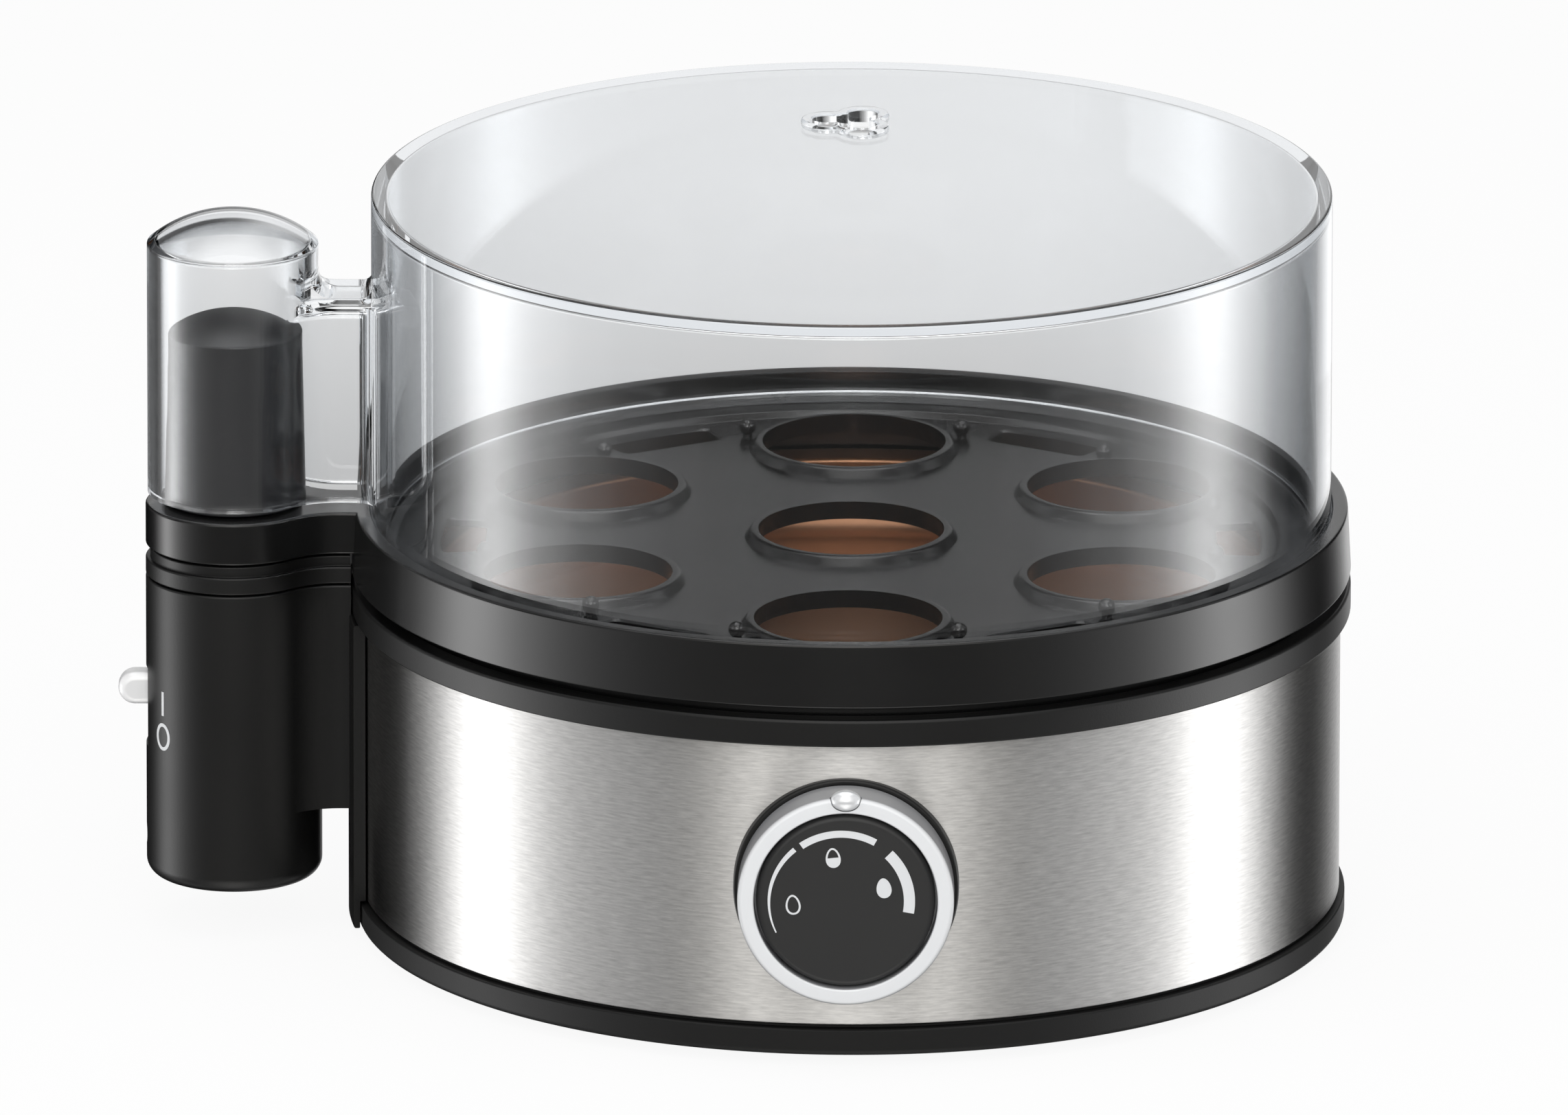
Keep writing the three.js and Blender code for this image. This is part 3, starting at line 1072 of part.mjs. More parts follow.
function temperatureSensor() {
  const top = bowlUnderside - FIT;
  return block([FUSE_OFFSET - SENSOR_SIZE / 2, -FUSE_OFFSET / 2 - SENSOR_SIZE, top - SENSOR_SIZE],
    [FUSE_OFFSET + SENSOR_SIZE / 2, -FUSE_OFFSET / 2, top]);
}

// Gland for the mains cable, built on its own axis with local Z pointing out of the back
function cableGland() {
  return turned([
    [GLAND_BORE_RADIUS, spigotRadius - WALL],
    [GLAND_RADIUS, spigotRadius - WALL],
    [GLAND_RADIUS, DRUM_RADIUS + FIT],
    [GLAND_FLANGE_RADIUS, DRUM_RADIUS + FIT],
    [GLAND_FLANGE_RADIUS, DRUM_RADIUS + FIT + GLAND_FLANGE_THICKNESS / 2],
    [GLAND_FLANGE_RADIUS - GLAND_FLANGE_THICKNESS / 2, DRUM_RADIUS + FIT + GLAND_FLANGE_THICKNESS],
    [GLAND_BORE_RADIUS, DRUM_RADIUS + FIT + GLAND_FLANGE_THICKNESS],
  ], ROUND_SIDES);
}

// Clamp behind the gland: a block on the floor with a channel for the cable
function cableClamp() {
  const foot = PAN_FLOOR + FIT;
  return cut(
    block([-CLAMP_HALF_WIDTH, CLAMP_DISTANCE, foot],
      [CLAMP_HALF_WIDTH, CLAMP_DISTANCE + CLAMP_DEPTH, GLAND_HEIGHT + GLAND_BORE_RADIUS + WALL]),
    placed(rodGeometry(GLAND_BORE_RADIUS, -CLAMP_DISTANCE - CLAMP_DEPTH - OVERRUN, -CLAMP_DISTANCE + OVERRUN,
      SMALL_SIDES), [0, 0, GLAND_HEIGHT], [radians(RIGHT_DEG), 0, 0]),
  );
}

function terminalBlock() {
  const foot = PAN_FLOOR + FIT;
  const blockMiddle = foot + BLOCK_HEIGHT / 2;
  const ways = [-1, 0, 1].map((way) => uprightRod(WALL, blockMiddle, foot + BLOCK_HEIGHT + OVERRUN,
    way * BLOCK_HALF_WIDTH * 2 / 3, BLOCK_DISTANCE + BLOCK_DEPTH / 2, SMALL_SIDES));
  return cut(block([-BLOCK_HALF_WIDTH, BLOCK_DISTANCE, foot],
    [BLOCK_HALF_WIDTH, BLOCK_DISTANCE + BLOCK_DEPTH, foot + BLOCK_HEIGHT]), ...ways);
}

// Rubber foot in its recess under the pan
function rubberFoot() {
  return turned([
    [0, -FOOT_HEIGHT],
    [FOOT_RADIUS - FOOT_HEIGHT / 3, -FOOT_HEIGHT],
    [FOOT_RADIUS, -FOOT_HEIGHT / 3],
    [FOOT_RADIUS, FOOT_RECESS - FIT],
    [0, FOOT_RECESS - FIT],
  ], ROUND_SIDES);
}

// Pan-head screw on the Z axis, its head's bearing face at z = 0 and its shank pointing up
function screw(length) {
  return turned([
    [0, -SCREW_HEAD_HEIGHT],
    [SCREW_HEAD_RADIUS, -SCREW_HEAD_HEIGHT],
    [SCREW_HEAD_RADIUS, 0],
    [SCREW_RADIUS, 0],
    [SCREW_RADIUS, length],
    [0, length],
  ], SMALL_SIDES);
}

// Insulated wires, as round tubes along smooth curves
function wire(points) {
  const curve = new THREE.CatmullRomCurve3(points.map((point) => new THREE.Vector3(...point)));
  return pathTube(curve, WIRE_RADIUS, 2 * ARC_STEPS, WIRE_SIDES);
}

const floorRun = PAN_FLOOR + FIT + WIRE_RADIUS;
const blockTop = PAN_FLOOR + FIT + BLOCK_HEIGHT;

function switchWires() {
  return wire([
    [bracketBack + 2 * WIRE_RADIUS, 0, LEVER_HEIGHT],
    [-TOWER_OFFSET + TOWER_RADIUS / 2, 0, LEVER_HEIGHT],
    [-DRUM_RADIUS, 0, LEVER_HEIGHT],
    [-CASE_SCREW_CIRCLE + CASE_BOSS_HEIGHT / 2, 0, LEVER_HEIGHT - CASE_BOSS_HEIGHT / 2],
    [-FOOT_CIRCLE, 0, CASE_BOSS_HEIGHT],
    [-BLOCK_DISTANCE, BLOCK_DISTANCE / 2, floorRun + WIRE_RADIUS],
    [-BLOCK_HALF_WIDTH * 2, BLOCK_DISTANCE, floorRun],
    [-BLOCK_HALF_WIDTH - WIRE_RADIUS / 2, BLOCK_DISTANCE + BLOCK_DEPTH / 2, floorRun],
  ]);
}

function mainsWires() {
  const z = GLAND_HEIGHT - GLAND_BORE_RADIUS + FIT + WIRE_RADIUS;
  return wire([
    [0, CLAMP_DISTANCE + CLAMP_DEPTH / 2, z],
    [0, CLAMP_DISTANCE, z],
    [0, BLOCK_DISTANCE + BLOCK_DEPTH + FIT, z],
  ]);
}

function heaterWires() {
  const end = elementPoint(1);
  const x = end.x - ELEMENT_TUBE_RADIUS - FIT - TERMINAL_LENGTH / 2;
  return wire([
    [x, end.y, elementAxis - TERMINAL_THICKNESS / 2 - FIT],
    [x, end.y, elementAxis - BLOCK_HEIGHT],
    [BLOCK_HALF_WIDTH * 2 / 3, BLOCK_DISTANCE + BLOCK_DEPTH / 2, blockTop + BLOCK_HEIGHT / 2],
    [BLOCK_HALF_WIDTH * 2 / 3, BLOCK_DISTANCE + BLOCK_DEPTH / 2, blockTop + FIT],
  ]);
}

function boardWires() {
  const y = -partsFront + WIRE_RADIUS;
  const z = KNOB_HEIGHT + partsHeight - CAPACITOR_RADIUS - FIT - 2 * WIRE_RADIUS;
  return wire([
    [0, y, z],
    [0, y + BLOCK_DEPTH, z],
    [-PART_SPACING / 2, -BLOCK_DISTANCE / 2, floorRun + WIRE_RADIUS],
    [-BLOCK_HALF_WIDTH / 2, 0, floorRun + FIT],
    [-BLOCK_HALF_WIDTH / 2, BLOCK_DISTANCE / 2, floorRun],
    [-BLOCK_HALF_WIDTH / 2, BLOCK_DISTANCE - FIT, floorRun],
  ]);
}

// Materials
const finish = (color, roughness, metalness = 0) => new THREE.MeshStandardMaterial(
  { color, roughness, metalness });
const blackPlastic = () => finish(0x1d1d20, 0.42);
const greyPlastic = () => finish(0x3a3b3e, 0.45);
const clearPlastic = () => new THREE.MeshStandardMaterial({
  color: 0xe8eef0, roughness: 0.05, transparent: true, opacity: 0.3,
});
const steel = () => finish(0xb9b6b0, 0.35, 1);
const plated = () => finish(0xc8cacc, 0.3, 1);
const silverPaint = () => finish(0xe4e5e7, 0.4);
const coatedAluminium = () => finish(0x9a5a3a, 0.4, 0.8);
const rubber = () => finish(0x202020, 0.85);
const boardGreen = () => finish(0x1f5a35, 0.55);
const insulation = () => finish(0xb8b1a6, 0.6);

const cooker = new THREE.Group();

// Put a named piece into a group
function piece(group, name, body, material) {
  const mesh = new THREE.Mesh(geometryOf(body), material);
  mesh.name = name;
  group.add(mesh);
  return mesh;
}

// A group whose local Z points outwards in a direction round the drum, at a height
function facing(directionDeg, height) {
  const turn = new THREE.Group();
  turn.rotation.z = radians(directionDeg + RIGHT_DEG);
  turn.position.z = height;
  const tilt = new THREE.Group();
  tilt.rotation.x = radians(RIGHT_DEG);
  turn.add(tilt);
  cooker.add(turn);
  return tilt;
}

piece(cooker, 'base_pan', basePan(), blackPlastic());
piece(cooker, 'upper_collar', upperCollar(), blackPlastic());
piece(cooker, 'steel_jacket', steelJacket(), steel());
piece(cooker, 'tower_housing', towerHousing(), blackPlastic());
piece(cooker, 'tower_cap', towerCap(), blackPlastic());
piece(cooker, 'switch_lever', switchLever(), plated());
piece(cooker, 'switch_body', switchBody(), blackPlastic());
piece(cooker, 'switch_bracket', switchBracket(), greyPlastic());
piece(cooker, 'pilot_lamp_lens', lampLens(), clearPlastic());
piece(cooker, 'pilot_lamp', pilotLamp(), clearPlastic());
piece(cooker, 'heating_bowl', heatingBowl(), coatedAluminium());
piece(cooker, 'bowl_seal', bowlSeal(), rubber());
piece(cooker, 'heat_spreader', heatSpreader(), plated());
piece(cooker, 'heating_element', heatingElement(), steel());
piece(cooker, 'element_terminal_left', elementTerminal(-1), plated());
piece(cooker, 'element_terminal_right', elementTerminal(1), plated());
piece(cooker, 'element_strap', elementStrap(), steel());
piece(cooker, 'strap_nut', strapNut(), plated());
piece(cooker, 'thermostat', thermostat(), plated());
piece(cooker, 'thermal_fuse', thermalFuse(), insulation());
piece(cooker, 'temperature_sensor', temperatureSensor(), blackPlastic());
piece(cooker, 'cable_clamp', cableClamp(), blackPlastic());
piece(cooker, 'terminal_block', terminalBlock(), insulation());
piece(cooker, 'switch_wires', switchWires(), rubber());
piece(cooker, 'mains_wires', mainsWires(), rubber());
piece(cooker, 'heater_wires', heaterWires(), insulation());
piece(cooker, 'board_wires', boardWires(), insulation());

const corners = ['rear_right', 'rear_left', 'front_left', 'front_right'];
caseAngles.forEach((angle, i) => {
  const foot = piece(cooker, `foot_${corners[i]}`, rubberFoot(), rubber());
  foot.position.set(...polar(FOOT_CIRCLE, angle), 0);
  const caseScrew = piece(cooker, `case_screw_${corners[i]}`, screw(CASE_SCREW_LENGTH), plated());
  caseScrew.position.set(...polar(CASE_SCREW_CIRCLE, angle), COUNTERBORE_DEPTH - FIT);
});

// Screws from inside the mast into the tower's bosses
['lower', 'upper'].forEach((level, i) => {
  const towerScrew = piece(cooker, `tower_screw_${level}`, screw(TOWER_SCREW_LENGTH), plated());
  towerScrew.rotation.y = -radians(RIGHT_DEG);
  towerScrew.position.set(-spigotRadius + WALL + FIT, 0, towerScrewHeights()[i]);
});

const front = facing(-RIGHT_DEG, KNOB_HEIGHT);
piece(front, 'knob_bezel', knobBezel(), blackPlastic());
piece(front, 'knob_ring', knobRing(), silverPaint());
piece(front, 'pointer_nub', nubBody(0), silverPaint());
piece(front, 'dial_disc', dialDisc(), blackPlastic());
piece(front, 'encoder', encoder(), greyPlastic());
piece(front, 'dial_nut', dialNut(), plated());
piece(front, 'control_board', controlBoard(), boardGreen());
['left', 'right'].forEach((side, i) => {
  const [x, height] = boardScrewPlaces()[i];
  const boardScrew = piece(front, `board_screw_${side}`, screw(BOARD_SCREW_LENGTH), plated());
  boardScrew.rotation.x = radians(HALF_TURN_DEG);
  boardScrew.position.set(x, height - KNOB_HEIGHT, boardFront + FIT);
});
piece(front, 'relay', relay(), blackPlastic());
piece(front, 'capacitor', capacitor(), greyPlastic());
piece(front, 'buzzer', buzzer(), blackPlastic());

const back = facing(RIGHT_DEG, GLAND_HEIGHT);
piece(back, 'cable_gland', cableGland(), rubber());

piece(cooker, 'carrier', carrier(), greyPlastic());
const tower = new THREE.Group();
tower.position.x = -TOWER_OFFSET;
cooker.add(tower);
piece(tower, 'grip_post', gripPost(), greyPlastic());
const gripScrew = piece(tower, 'grip_screw', screw(GRIP_SCREW_LENGTH), plated());
gripScrew.position.z = segmentCeiling - FIT;

piece(cooker, 'lid', lid(), clearPlastic());

export default cooker;
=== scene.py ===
# %% [markdown]
# # Dressing a steam cooker with seven seats
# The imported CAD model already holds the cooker's real sizes and moving parts. This lesson makes its
# looks: smooth surfaces instead of facets, a finish for every piece, and a plain studio round it.
# Each surface is a formula worked out with numpy, so a reader can change a radius and run it again.

# %% Load the frame
import json
import math

import bmesh
import bpy
import numpy as np
from mathutils import Matrix, Vector


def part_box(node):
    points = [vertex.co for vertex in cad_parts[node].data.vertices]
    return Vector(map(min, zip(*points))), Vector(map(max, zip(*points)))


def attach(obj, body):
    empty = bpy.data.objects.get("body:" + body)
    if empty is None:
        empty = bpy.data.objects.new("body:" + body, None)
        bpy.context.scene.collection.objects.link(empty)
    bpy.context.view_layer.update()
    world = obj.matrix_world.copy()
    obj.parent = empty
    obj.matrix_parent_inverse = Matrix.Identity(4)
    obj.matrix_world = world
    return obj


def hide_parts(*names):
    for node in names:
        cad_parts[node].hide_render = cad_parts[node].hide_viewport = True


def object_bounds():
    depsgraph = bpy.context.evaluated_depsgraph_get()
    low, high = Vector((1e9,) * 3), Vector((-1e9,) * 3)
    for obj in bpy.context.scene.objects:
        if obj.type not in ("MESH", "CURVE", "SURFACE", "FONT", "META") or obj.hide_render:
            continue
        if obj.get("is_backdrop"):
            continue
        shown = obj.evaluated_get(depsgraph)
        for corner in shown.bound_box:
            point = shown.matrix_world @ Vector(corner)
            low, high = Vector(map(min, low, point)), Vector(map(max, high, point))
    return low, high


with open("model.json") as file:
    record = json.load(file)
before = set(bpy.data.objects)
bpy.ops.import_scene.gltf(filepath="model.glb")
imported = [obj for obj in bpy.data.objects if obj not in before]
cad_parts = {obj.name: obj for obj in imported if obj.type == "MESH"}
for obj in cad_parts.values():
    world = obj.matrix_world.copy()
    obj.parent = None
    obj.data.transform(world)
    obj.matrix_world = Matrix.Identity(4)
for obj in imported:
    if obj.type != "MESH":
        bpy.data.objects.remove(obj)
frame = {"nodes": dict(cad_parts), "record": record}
cad_low, cad_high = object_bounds()
MM = 0.001
print("CAD box in mm:", [round((high - low) / MM, 1) for low, high in zip(cad_low, cad_high)])

# %% [markdown]
# ## Sizes from the frame
# Every piece has to sit where its CAD node sits, so the main sizes are read from the nodes' boxes.
# The whole file works in millimetres, because a maker thinks of a cooker in millimetres; only the
# helper that writes a mesh turns them into metres.

# %% Sizes that several pieces share
def size_of(node):
    """Lowest and highest corner of a CAD node, in millimetres."""
    low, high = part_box(node)
    return np.array(low) / MM, np.array(high) / MM


def middle_of(node):
    """Middle of a CAD node's box, in millimetres."""
    low, high = size_of(node)
    return (low + high) / 2


FIT = 0.3  # gap between pieces that touch on the real cooker
WALL = 2.0  # moulded plastic wall
OVERRUN = 1.0  # how far a cutting body passes the face that it cuts
DRUM_RADIUS = size_of("steel_jacket")[1][0]
COLLAR_RADIUS = size_of("upper_collar")[1][0]
COLLAR_TOP = size_of("upper_collar")[1][2]
JACKET_FOOT = size_of("steel_jacket")[0][2]
JACKET_TOP = size_of("steel_jacket")[1][2]
PAN_RADIUS = size_of("base_pan")[1][0]
RING_TOP = size_of("carrier")[1][2]
LID_RADIUS = size_of("lid")[1][0]
LID_FOOT = size_of("lid")[0][2]
TOWER_OFFSET = -middle_of("grip_post")[0]
TOWER_RADIUS = -size_of("tower_housing")[0][0] - TOWER_OFFSET
TOWER_FOOT = 6.7
KNOB_HEIGHT = middle_of("knob_ring")[2]
print("drum", round(DRUM_RADIUS, 2), "tower axis", round(TOWER_OFFSET, 2), "knob", round(KNOB_HEIGHT, 2))

# %% [markdown]
# ## The camera
# The photograph was taken with a long lens, so the ellipses of the rings hardly change from the near
# side to the far side. The camera could be moved by eye until the picture fits, but that never ends.
# So it is worked out from a viewing angle, a distance and a small offset of the point that it looks at,
# all measured on the ring's ellipses.

# %% Camera at the photograph's viewing angle
CAMERA_AZIMUTH = math.radians(-0.6291)
CAMERA_ELEVATION = math.radians(16.5977)
CAMERA_ROLL = math.radians(0.0808)
CAMERA_DISTANCE = 6304.63
CAMERA_SIDE = -11.9151
CAMERA_TARGET_HEIGHT = 65.2408
SENSOR_WIDTH = 36.0
FOCAL_LENGTH = 816.47


def aim_camera():
    """Camera matrix: columns are the right, up and backward directions, then the place."""
    forward = Vector((
        math.sin(CAMERA_AZIMUTH) * math.cos(CAMERA_ELEVATION),
        math.cos(CAMERA_AZIMUTH) * math.cos(CAMERA_ELEVATION),
        -math.sin(CAMERA_ELEVATION),
    ))
    level = Vector((math.cos(CAMERA_AZIMUTH), -math.sin(CAMERA_AZIMUTH), 0))
    upright = level.cross(forward)
    right = math.cos(CAMERA_ROLL) * level + math.sin(CAMERA_ROLL) * upright
    up = right.cross(forward)
    place = CAMERA_SIDE * level + Vector((0, 0, CAMERA_TARGET_HEIGHT)) - CAMERA_DISTANCE * forward
    matrix = Matrix((right, up, -forward)).transposed().to_4x4()
    matrix.translation = place * MM
    return matrix


camera = bpy.data.objects.new("camera", bpy.data.cameras.new("camera"))
camera.data.lens = FOCAL_LENGTH
camera.data.sensor_width = SENSOR_WIDTH
camera.data.clip_end = 100
camera.matrix_world = aim_camera()
bpy.context.collection.objects.link(camera)
bpy.context.scene.camera = camera
bpy.context.scene.view_settings.view_transform = "Standard"
print("camera at", [round(value, 3) for value in camera.location])

# %% [markdown]
# ## Helpers for surfaces
# Most of the cooker is turned, like work on a lathe, or drawn along one outline. So a few helpers
# are enough: round the corners of an outline, turn a profile, stack outlines, and join or cut.
# Each of them works out all its points at once as arrays.

# %% Put points and faces into a mesh
TOUCHING = 1e-8  # metres within which two points are one


def put(name, points, faces):
    """New object from points in millimetres; doubles are merged and faces turned outwards."""
    mesh = bpy.data.meshes.new(name)
    mesh.from_pydata((np.asarray(points, float) * MM).tolist(), [], faces)
    work = bmesh.new()
    work.from_mesh(mesh)
    bmesh.ops.remove_doubles(work, verts=work.verts, dist=TOUCHING)
    bmesh.ops.recalc_face_normals(work, faces=work.faces)
    work.to_mesh(mesh)
    work.free()
    piece = bpy.data.objects.new(name, mesh)
    bpy.context.collection.objects.link(piece)
    return piece


def points_of(mesh):
    """A mesh's points in millimetres, read in one go."""
    points = np.empty(len(mesh.vertices) * 3)
    mesh.vertices.foreach_get("co", points)
    return points.reshape(-1, 3) / MM


def grid_faces(rows, columns, closed_rows):
    """Quads between neighbouring rows of points; the columns close, the rows if asked."""
    last = rows if closed_rows else rows - 1
    row, column = np.meshgrid(np.arange(last), np.arange(columns), indexing="ij")
    after, beside = (row + 1) % rows, (column + 1) % columns
    corners = (row * columns + column, row * columns + beside,
               after * columns + beside, after * columns + column)
    return np.stack(corners, -1).reshape(-1, 4).tolist()


# %% Draw an outline and round its corners
ARC_STEPS = 5
STRAIGHT = 0.9999  # cosine beyond which a corner counts as straight or folded back
MOST_OF_A_SIDE = 0.49  # an arc takes at most this share of the shorter side
NO_LENGTH = 1e-9


def rectangle(x0, y0, x1, y1):
    """Outline between two corners."""
    return [(x0, y0), (x1, y0), (x1, y1), (x0, y1)]


def on_circle(radius, angles, centre=(0, 0)):
    """x = centre + r cos a, y = centre + r sin a, for each angle."""
    return np.column_stack((centre[0] + radius * np.cos(angles), centre[1] + radius * np.sin(angles)))


def rounded(corners, radii, closed=True, steps=ARC_STEPS):
    """Outline with arcs for corners: each arc's points are its two end spokes blended by sines."""
    points = np.asarray(corners, float)
    radius = np.broadcast_to(np.asarray(radii, float), len(points)).copy()
    if not closed:
        radius[[0, -1]] = 0
    back, ahead = np.roll(points, 1, 0) - points, np.roll(points, -1, 0) - points
    back_length, ahead_length = np.linalg.norm(back, axis=1), np.linalg.norm(ahead, axis=1)
    back, ahead = back / back_length[:, None], ahead / ahead_length[:, None]
    half = np.arccos(np.clip((back * ahead).sum(1), -STRAIGHT, STRAIGHT)) / 2
    trim = np.minimum(radius / np.tan(half), MOST_OF_A_SIDE * np.minimum(back_length, ahead_length))
    middle = back + ahead
    middle /= np.maximum(np.linalg.norm(middle, axis=1), NO_LENGTH)[:, None]
    centre = points + middle * (trim / np.cos(half))[:, None]
    first, last = points + back * trim[:, None] - centre, points + ahead * trim[:, None] - centre
    turn = (np.pi - 2 * half)[:, None, None]
    share = np.linspace(0, 1, steps + 1)[None, :, None]
    spokes = np.sin((1 - share) * turn) * first[:, None] + np.sin(share * turn) * last[:, None]
    arcs = centre[:, None] + spokes / np.sin(turn)
    wanted = (radius[:, None] > 0) | (share[0, :, 0] == 0)[None, :]
    return arcs[wanted]


# %% Turn a profile round an upright axis
SIDES = 192
DOME_WALL = 4  # the straight wall under a dome starts this many edge radii below the shoulder


def revolve(name, profile, centre=(0, 0), sides=SIDES):
    """x = centre + r cos a, y = centre + r sin a, z = height, for each (r, height) of the profile.
    A profile that starts on the axis ends on it too; any other one closes on itself."""
    profile = np.asarray(profile, float)
    angle = np.linspace(0, 2 * np.pi, sides, endpoint=False)
    x = centre[0] + profile[:, :1] * np.cos(angle)
    y = centre[1] + profile[:, :1] * np.sin(angle)
    z = np.repeat(profile[:, 1:], sides, 1)
    points = np.stack((x, y, z), -1).reshape(-1, 3)
    return put(name, points, grid_faces(len(profile), sides, profile[0, 0] > 0))


def dome(radius, shoulder, rise, edge, steps=20):
    """Profile of a round column closed by a shallow ball: r = R sin t, z = centre + R cos t, with
    the column's edge rounded into it."""
    ball = (radius ** 2 + rise ** 2) / (2 * rise)
    swing = np.linspace(math.asin(radius / ball), 0, steps + 1)
    cap_curve = np.column_stack((ball * np.sin(swing), shoulder + rise - ball + ball * np.cos(swing)))
    cap_curve[-1, 0] = 0
    profile = np.vstack(((radius, shoulder - DOME_WALL * edge), cap_curve))
    return rounded(profile, [0, edge] + [0] * steps, closed=False)


# %% Stack outlines into a solid
def loft(name, rings):
    """Solid between outlines of the same count, given as (ring, point, xyz), with a flat end at each."""
    rings = np.asarray(rings, float)
    count, around = rings.shape[:2]
    faces = grid_faces(count, around, False)
    faces.append(list(range(around)))
    faces.append(list(range((count - 1) * around, count * around)))
    return put(name, rings.reshape(-1, 3), faces)


def level(outline, height):
    """A flat outline as points at one height."""
    outline = np.asarray(outline, float)
    return np.column_stack((outline, np.full(len(outline), height)))


def slab(name, outline, low, high):
    """Flat shape with straight sides between two heights."""
    return loft(name, (level(outline, low), level(outline, high)))


def block(name, low, high):
    """Box between two corners."""
    return slab(name, rectangle(*low[:2], *high[:2]), low[2], high[2])


# %% Join and cut bodies
def change(target, operation, *tools):
    """Applies a Boolean modifier for each tool body and removes the tool."""
    for tool in tools:
        step = target.modifiers.new("change", "BOOLEAN")
        step.operation = operation
        step.solver = "MANIFOLD"
        step.object = tool
        scene_state = bpy.context.evaluated_depsgraph_get()
        result = bpy.data.meshes.new_from_object(target.evaluated_get(scene_state))
        target.modifiers.clear()
        before, target.data = target.data, result
        bpy.data.meshes.remove(before)
        bpy.data.meshes.remove(tool.data)
    target.data.name = target.name
    return target


def join(target, *tools):
    """The bodies as one."""
    return change(target, "UNION", *tools)


def cut(target, *tools):
    """The first body without the others."""
    return change(target, "DIFFERENCE", *tools)


def together(name, bodies):
    """Several bodies that don't touch as one object, to join or cut with in one go."""
    work = bmesh.new()
    for body in bodies:
        work.from_mesh(body.data)
        bpy.data.meshes.remove(body.data)
    mesh = bpy.data.meshes.new(name)
    work.to_mesh(mesh)
    work.free()
    piece = bpy.data.objects.new(name, mesh)
    bpy.context.collection.objects.link(piece)
    return piece


# %% Finish a piece: smooth faces, sharp creases, material, body and the node that it stands for
CREASE = math.radians(34)
made = []


def dress(piece, material, body, slot, *nodes):
    """Shades a piece smoothly except at creases, gives it its finish and lets it ride on its body."""
    piece.data.shade_smooth()
    piece.data.set_sharp_from_angle(angle=CREASE)
    weighted = piece.modifiers.new("even normals", "WEIGHTED_NORMAL")
    weighted.keep_sharp = True
    piece.data.materials.clear()
    piece.data.materials.append(material)
    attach(piece, body)
    if nodes:
        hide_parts(*nodes)
    made.append(piece)
    points = points_of(piece.data)
    size = np.round(points.max(0) - points.min(0), 1).tolist()
    print(piece.name, len(piece.data.polygons), "faces,", size, "mm")


# %% [markdown]
# ## Node helpers and shared effects
# A finish is more than a colour: moulded plastic has a fine grain, brushed steel has long scratches.
# Both effects serve several materials, so each is a shader node group with named inputs. A group only
# gives out numbers for roughness, tone and the height of a bump; the shader stays in each material.

# %% Small helpers for node trees
def node(tree, kind, inputs=None, **settings):
    """New node with its settings. Each input is a value, or the socket of another node to link."""
    made_node = tree.nodes.new(kind)
    for name, value in settings.items():
        setattr(made_node, name, value)
    for key, value in (inputs or {}).items():
        if isinstance(value, bpy.types.NodeSocket):
            tree.links.new(value, made_node.inputs[key])
        else:
            made_node.inputs[key].default_value = value
    return made_node


def calculate(tree, operation, first, second=0.0):
    """One Math node; each side is a socket or a number. Tests such as LESS_THAN give 1 or 0."""
    return node(tree, "ShaderNodeMath", {0: first, 1: second}, operation=operation).outputs["Value"]


def grey(value):
    """A grey as a colour; a socket stays as it is."""
    return (value, value, value, 1) if isinstance(value, float) else value


def mixed(tree, factor, first, second):
    """Colour mix; each side is a socket, a colour or a grey value."""
    sides = {"Factor": factor, "A": grey(first), "B": grey(second)}
    return node(tree, "ShaderNodeMix", sides, data_type="RGBA").outputs["Result"]


def mixed_shader(tree, factor, first, second):
    """One shader where the factor is 0, the other where it is 1."""
    return node(tree, "ShaderNodeMixShader", {"Fac": factor, 1: first, 2: second}).outputs["Shader"]


def between(tree, value, start, full):
    """0 below start, 1 above full and smooth between; the other way round if start is greater."""
    return node(tree, "ShaderNodeMapRange", {
        "Value": value, "From Min": min(start, full), "From Max": max(start, full),
        "To Min": float(start > full), "To Max": float(start < full),
    }, interpolation_type="SMOOTHSTEP").outputs["Result"]


def range_of(tree, value, low, high):
    """Maps a 0 to 1 value to a range; its ends are sockets or numbers."""
    ends = {"Value": value, "To Min": low, "To Max": high}
    return node(tree, "ShaderNodeMapRange", ends).outputs["Result"]


def group_with(name, inputs, outputs):
    """Empty shader node group with float sockets, each input with its starting value."""
    group = bpy.data.node_groups.new(name, "ShaderNodeTree")
    for socket_name, value in inputs.items():
        kind = "NodeSocketVector" if value is None else "NodeSocketFloat"
        socket = group.interface.new_socket(name=socket_name, in_out="INPUT", socket_type=kind)
        if value is not None:
            socket.default_value = value
    for socket_name in outputs:
        group.interface.new_socket(name=socket_name, in_out="OUTPUT", socket_type="NodeSocketFloat")
    return group, node(group, "NodeGroupInput"), node(group, "NodeGroupOutput")


# %% Moulded grain
def make_grain():
    """Fine noise for the height of the grain, and a slow cloud that varies the roughness."""
    group, given, result = group_with(
        "moulded grain",
        {"Vector": None, "Grain Scale": 2500.0, "Cloud Scale": 60.0,
         "Roughness Low": 0.4, "Roughness High": 0.5},
        ("Height", "Roughness"),
    )
    given = given.outputs
    grain = node(group, "ShaderNodeTexNoise",
                 {"Vector": given["Vector"], "Scale": given["Grain Scale"], "Detail": 2})
    cloud = node(group, "ShaderNodeTexNoise",
                 {"Vector": given["Vector"], "Scale": given["Cloud Scale"], "Detail": 3})
    rough = range_of(group, cloud.outputs["Fac"], given["Roughness Low"], given["Roughness High"])
    group.links.new(grain.outputs["Fac"], result.inputs["Height"])
    group.links.new(rough, result.inputs["Roughness"])
    return group


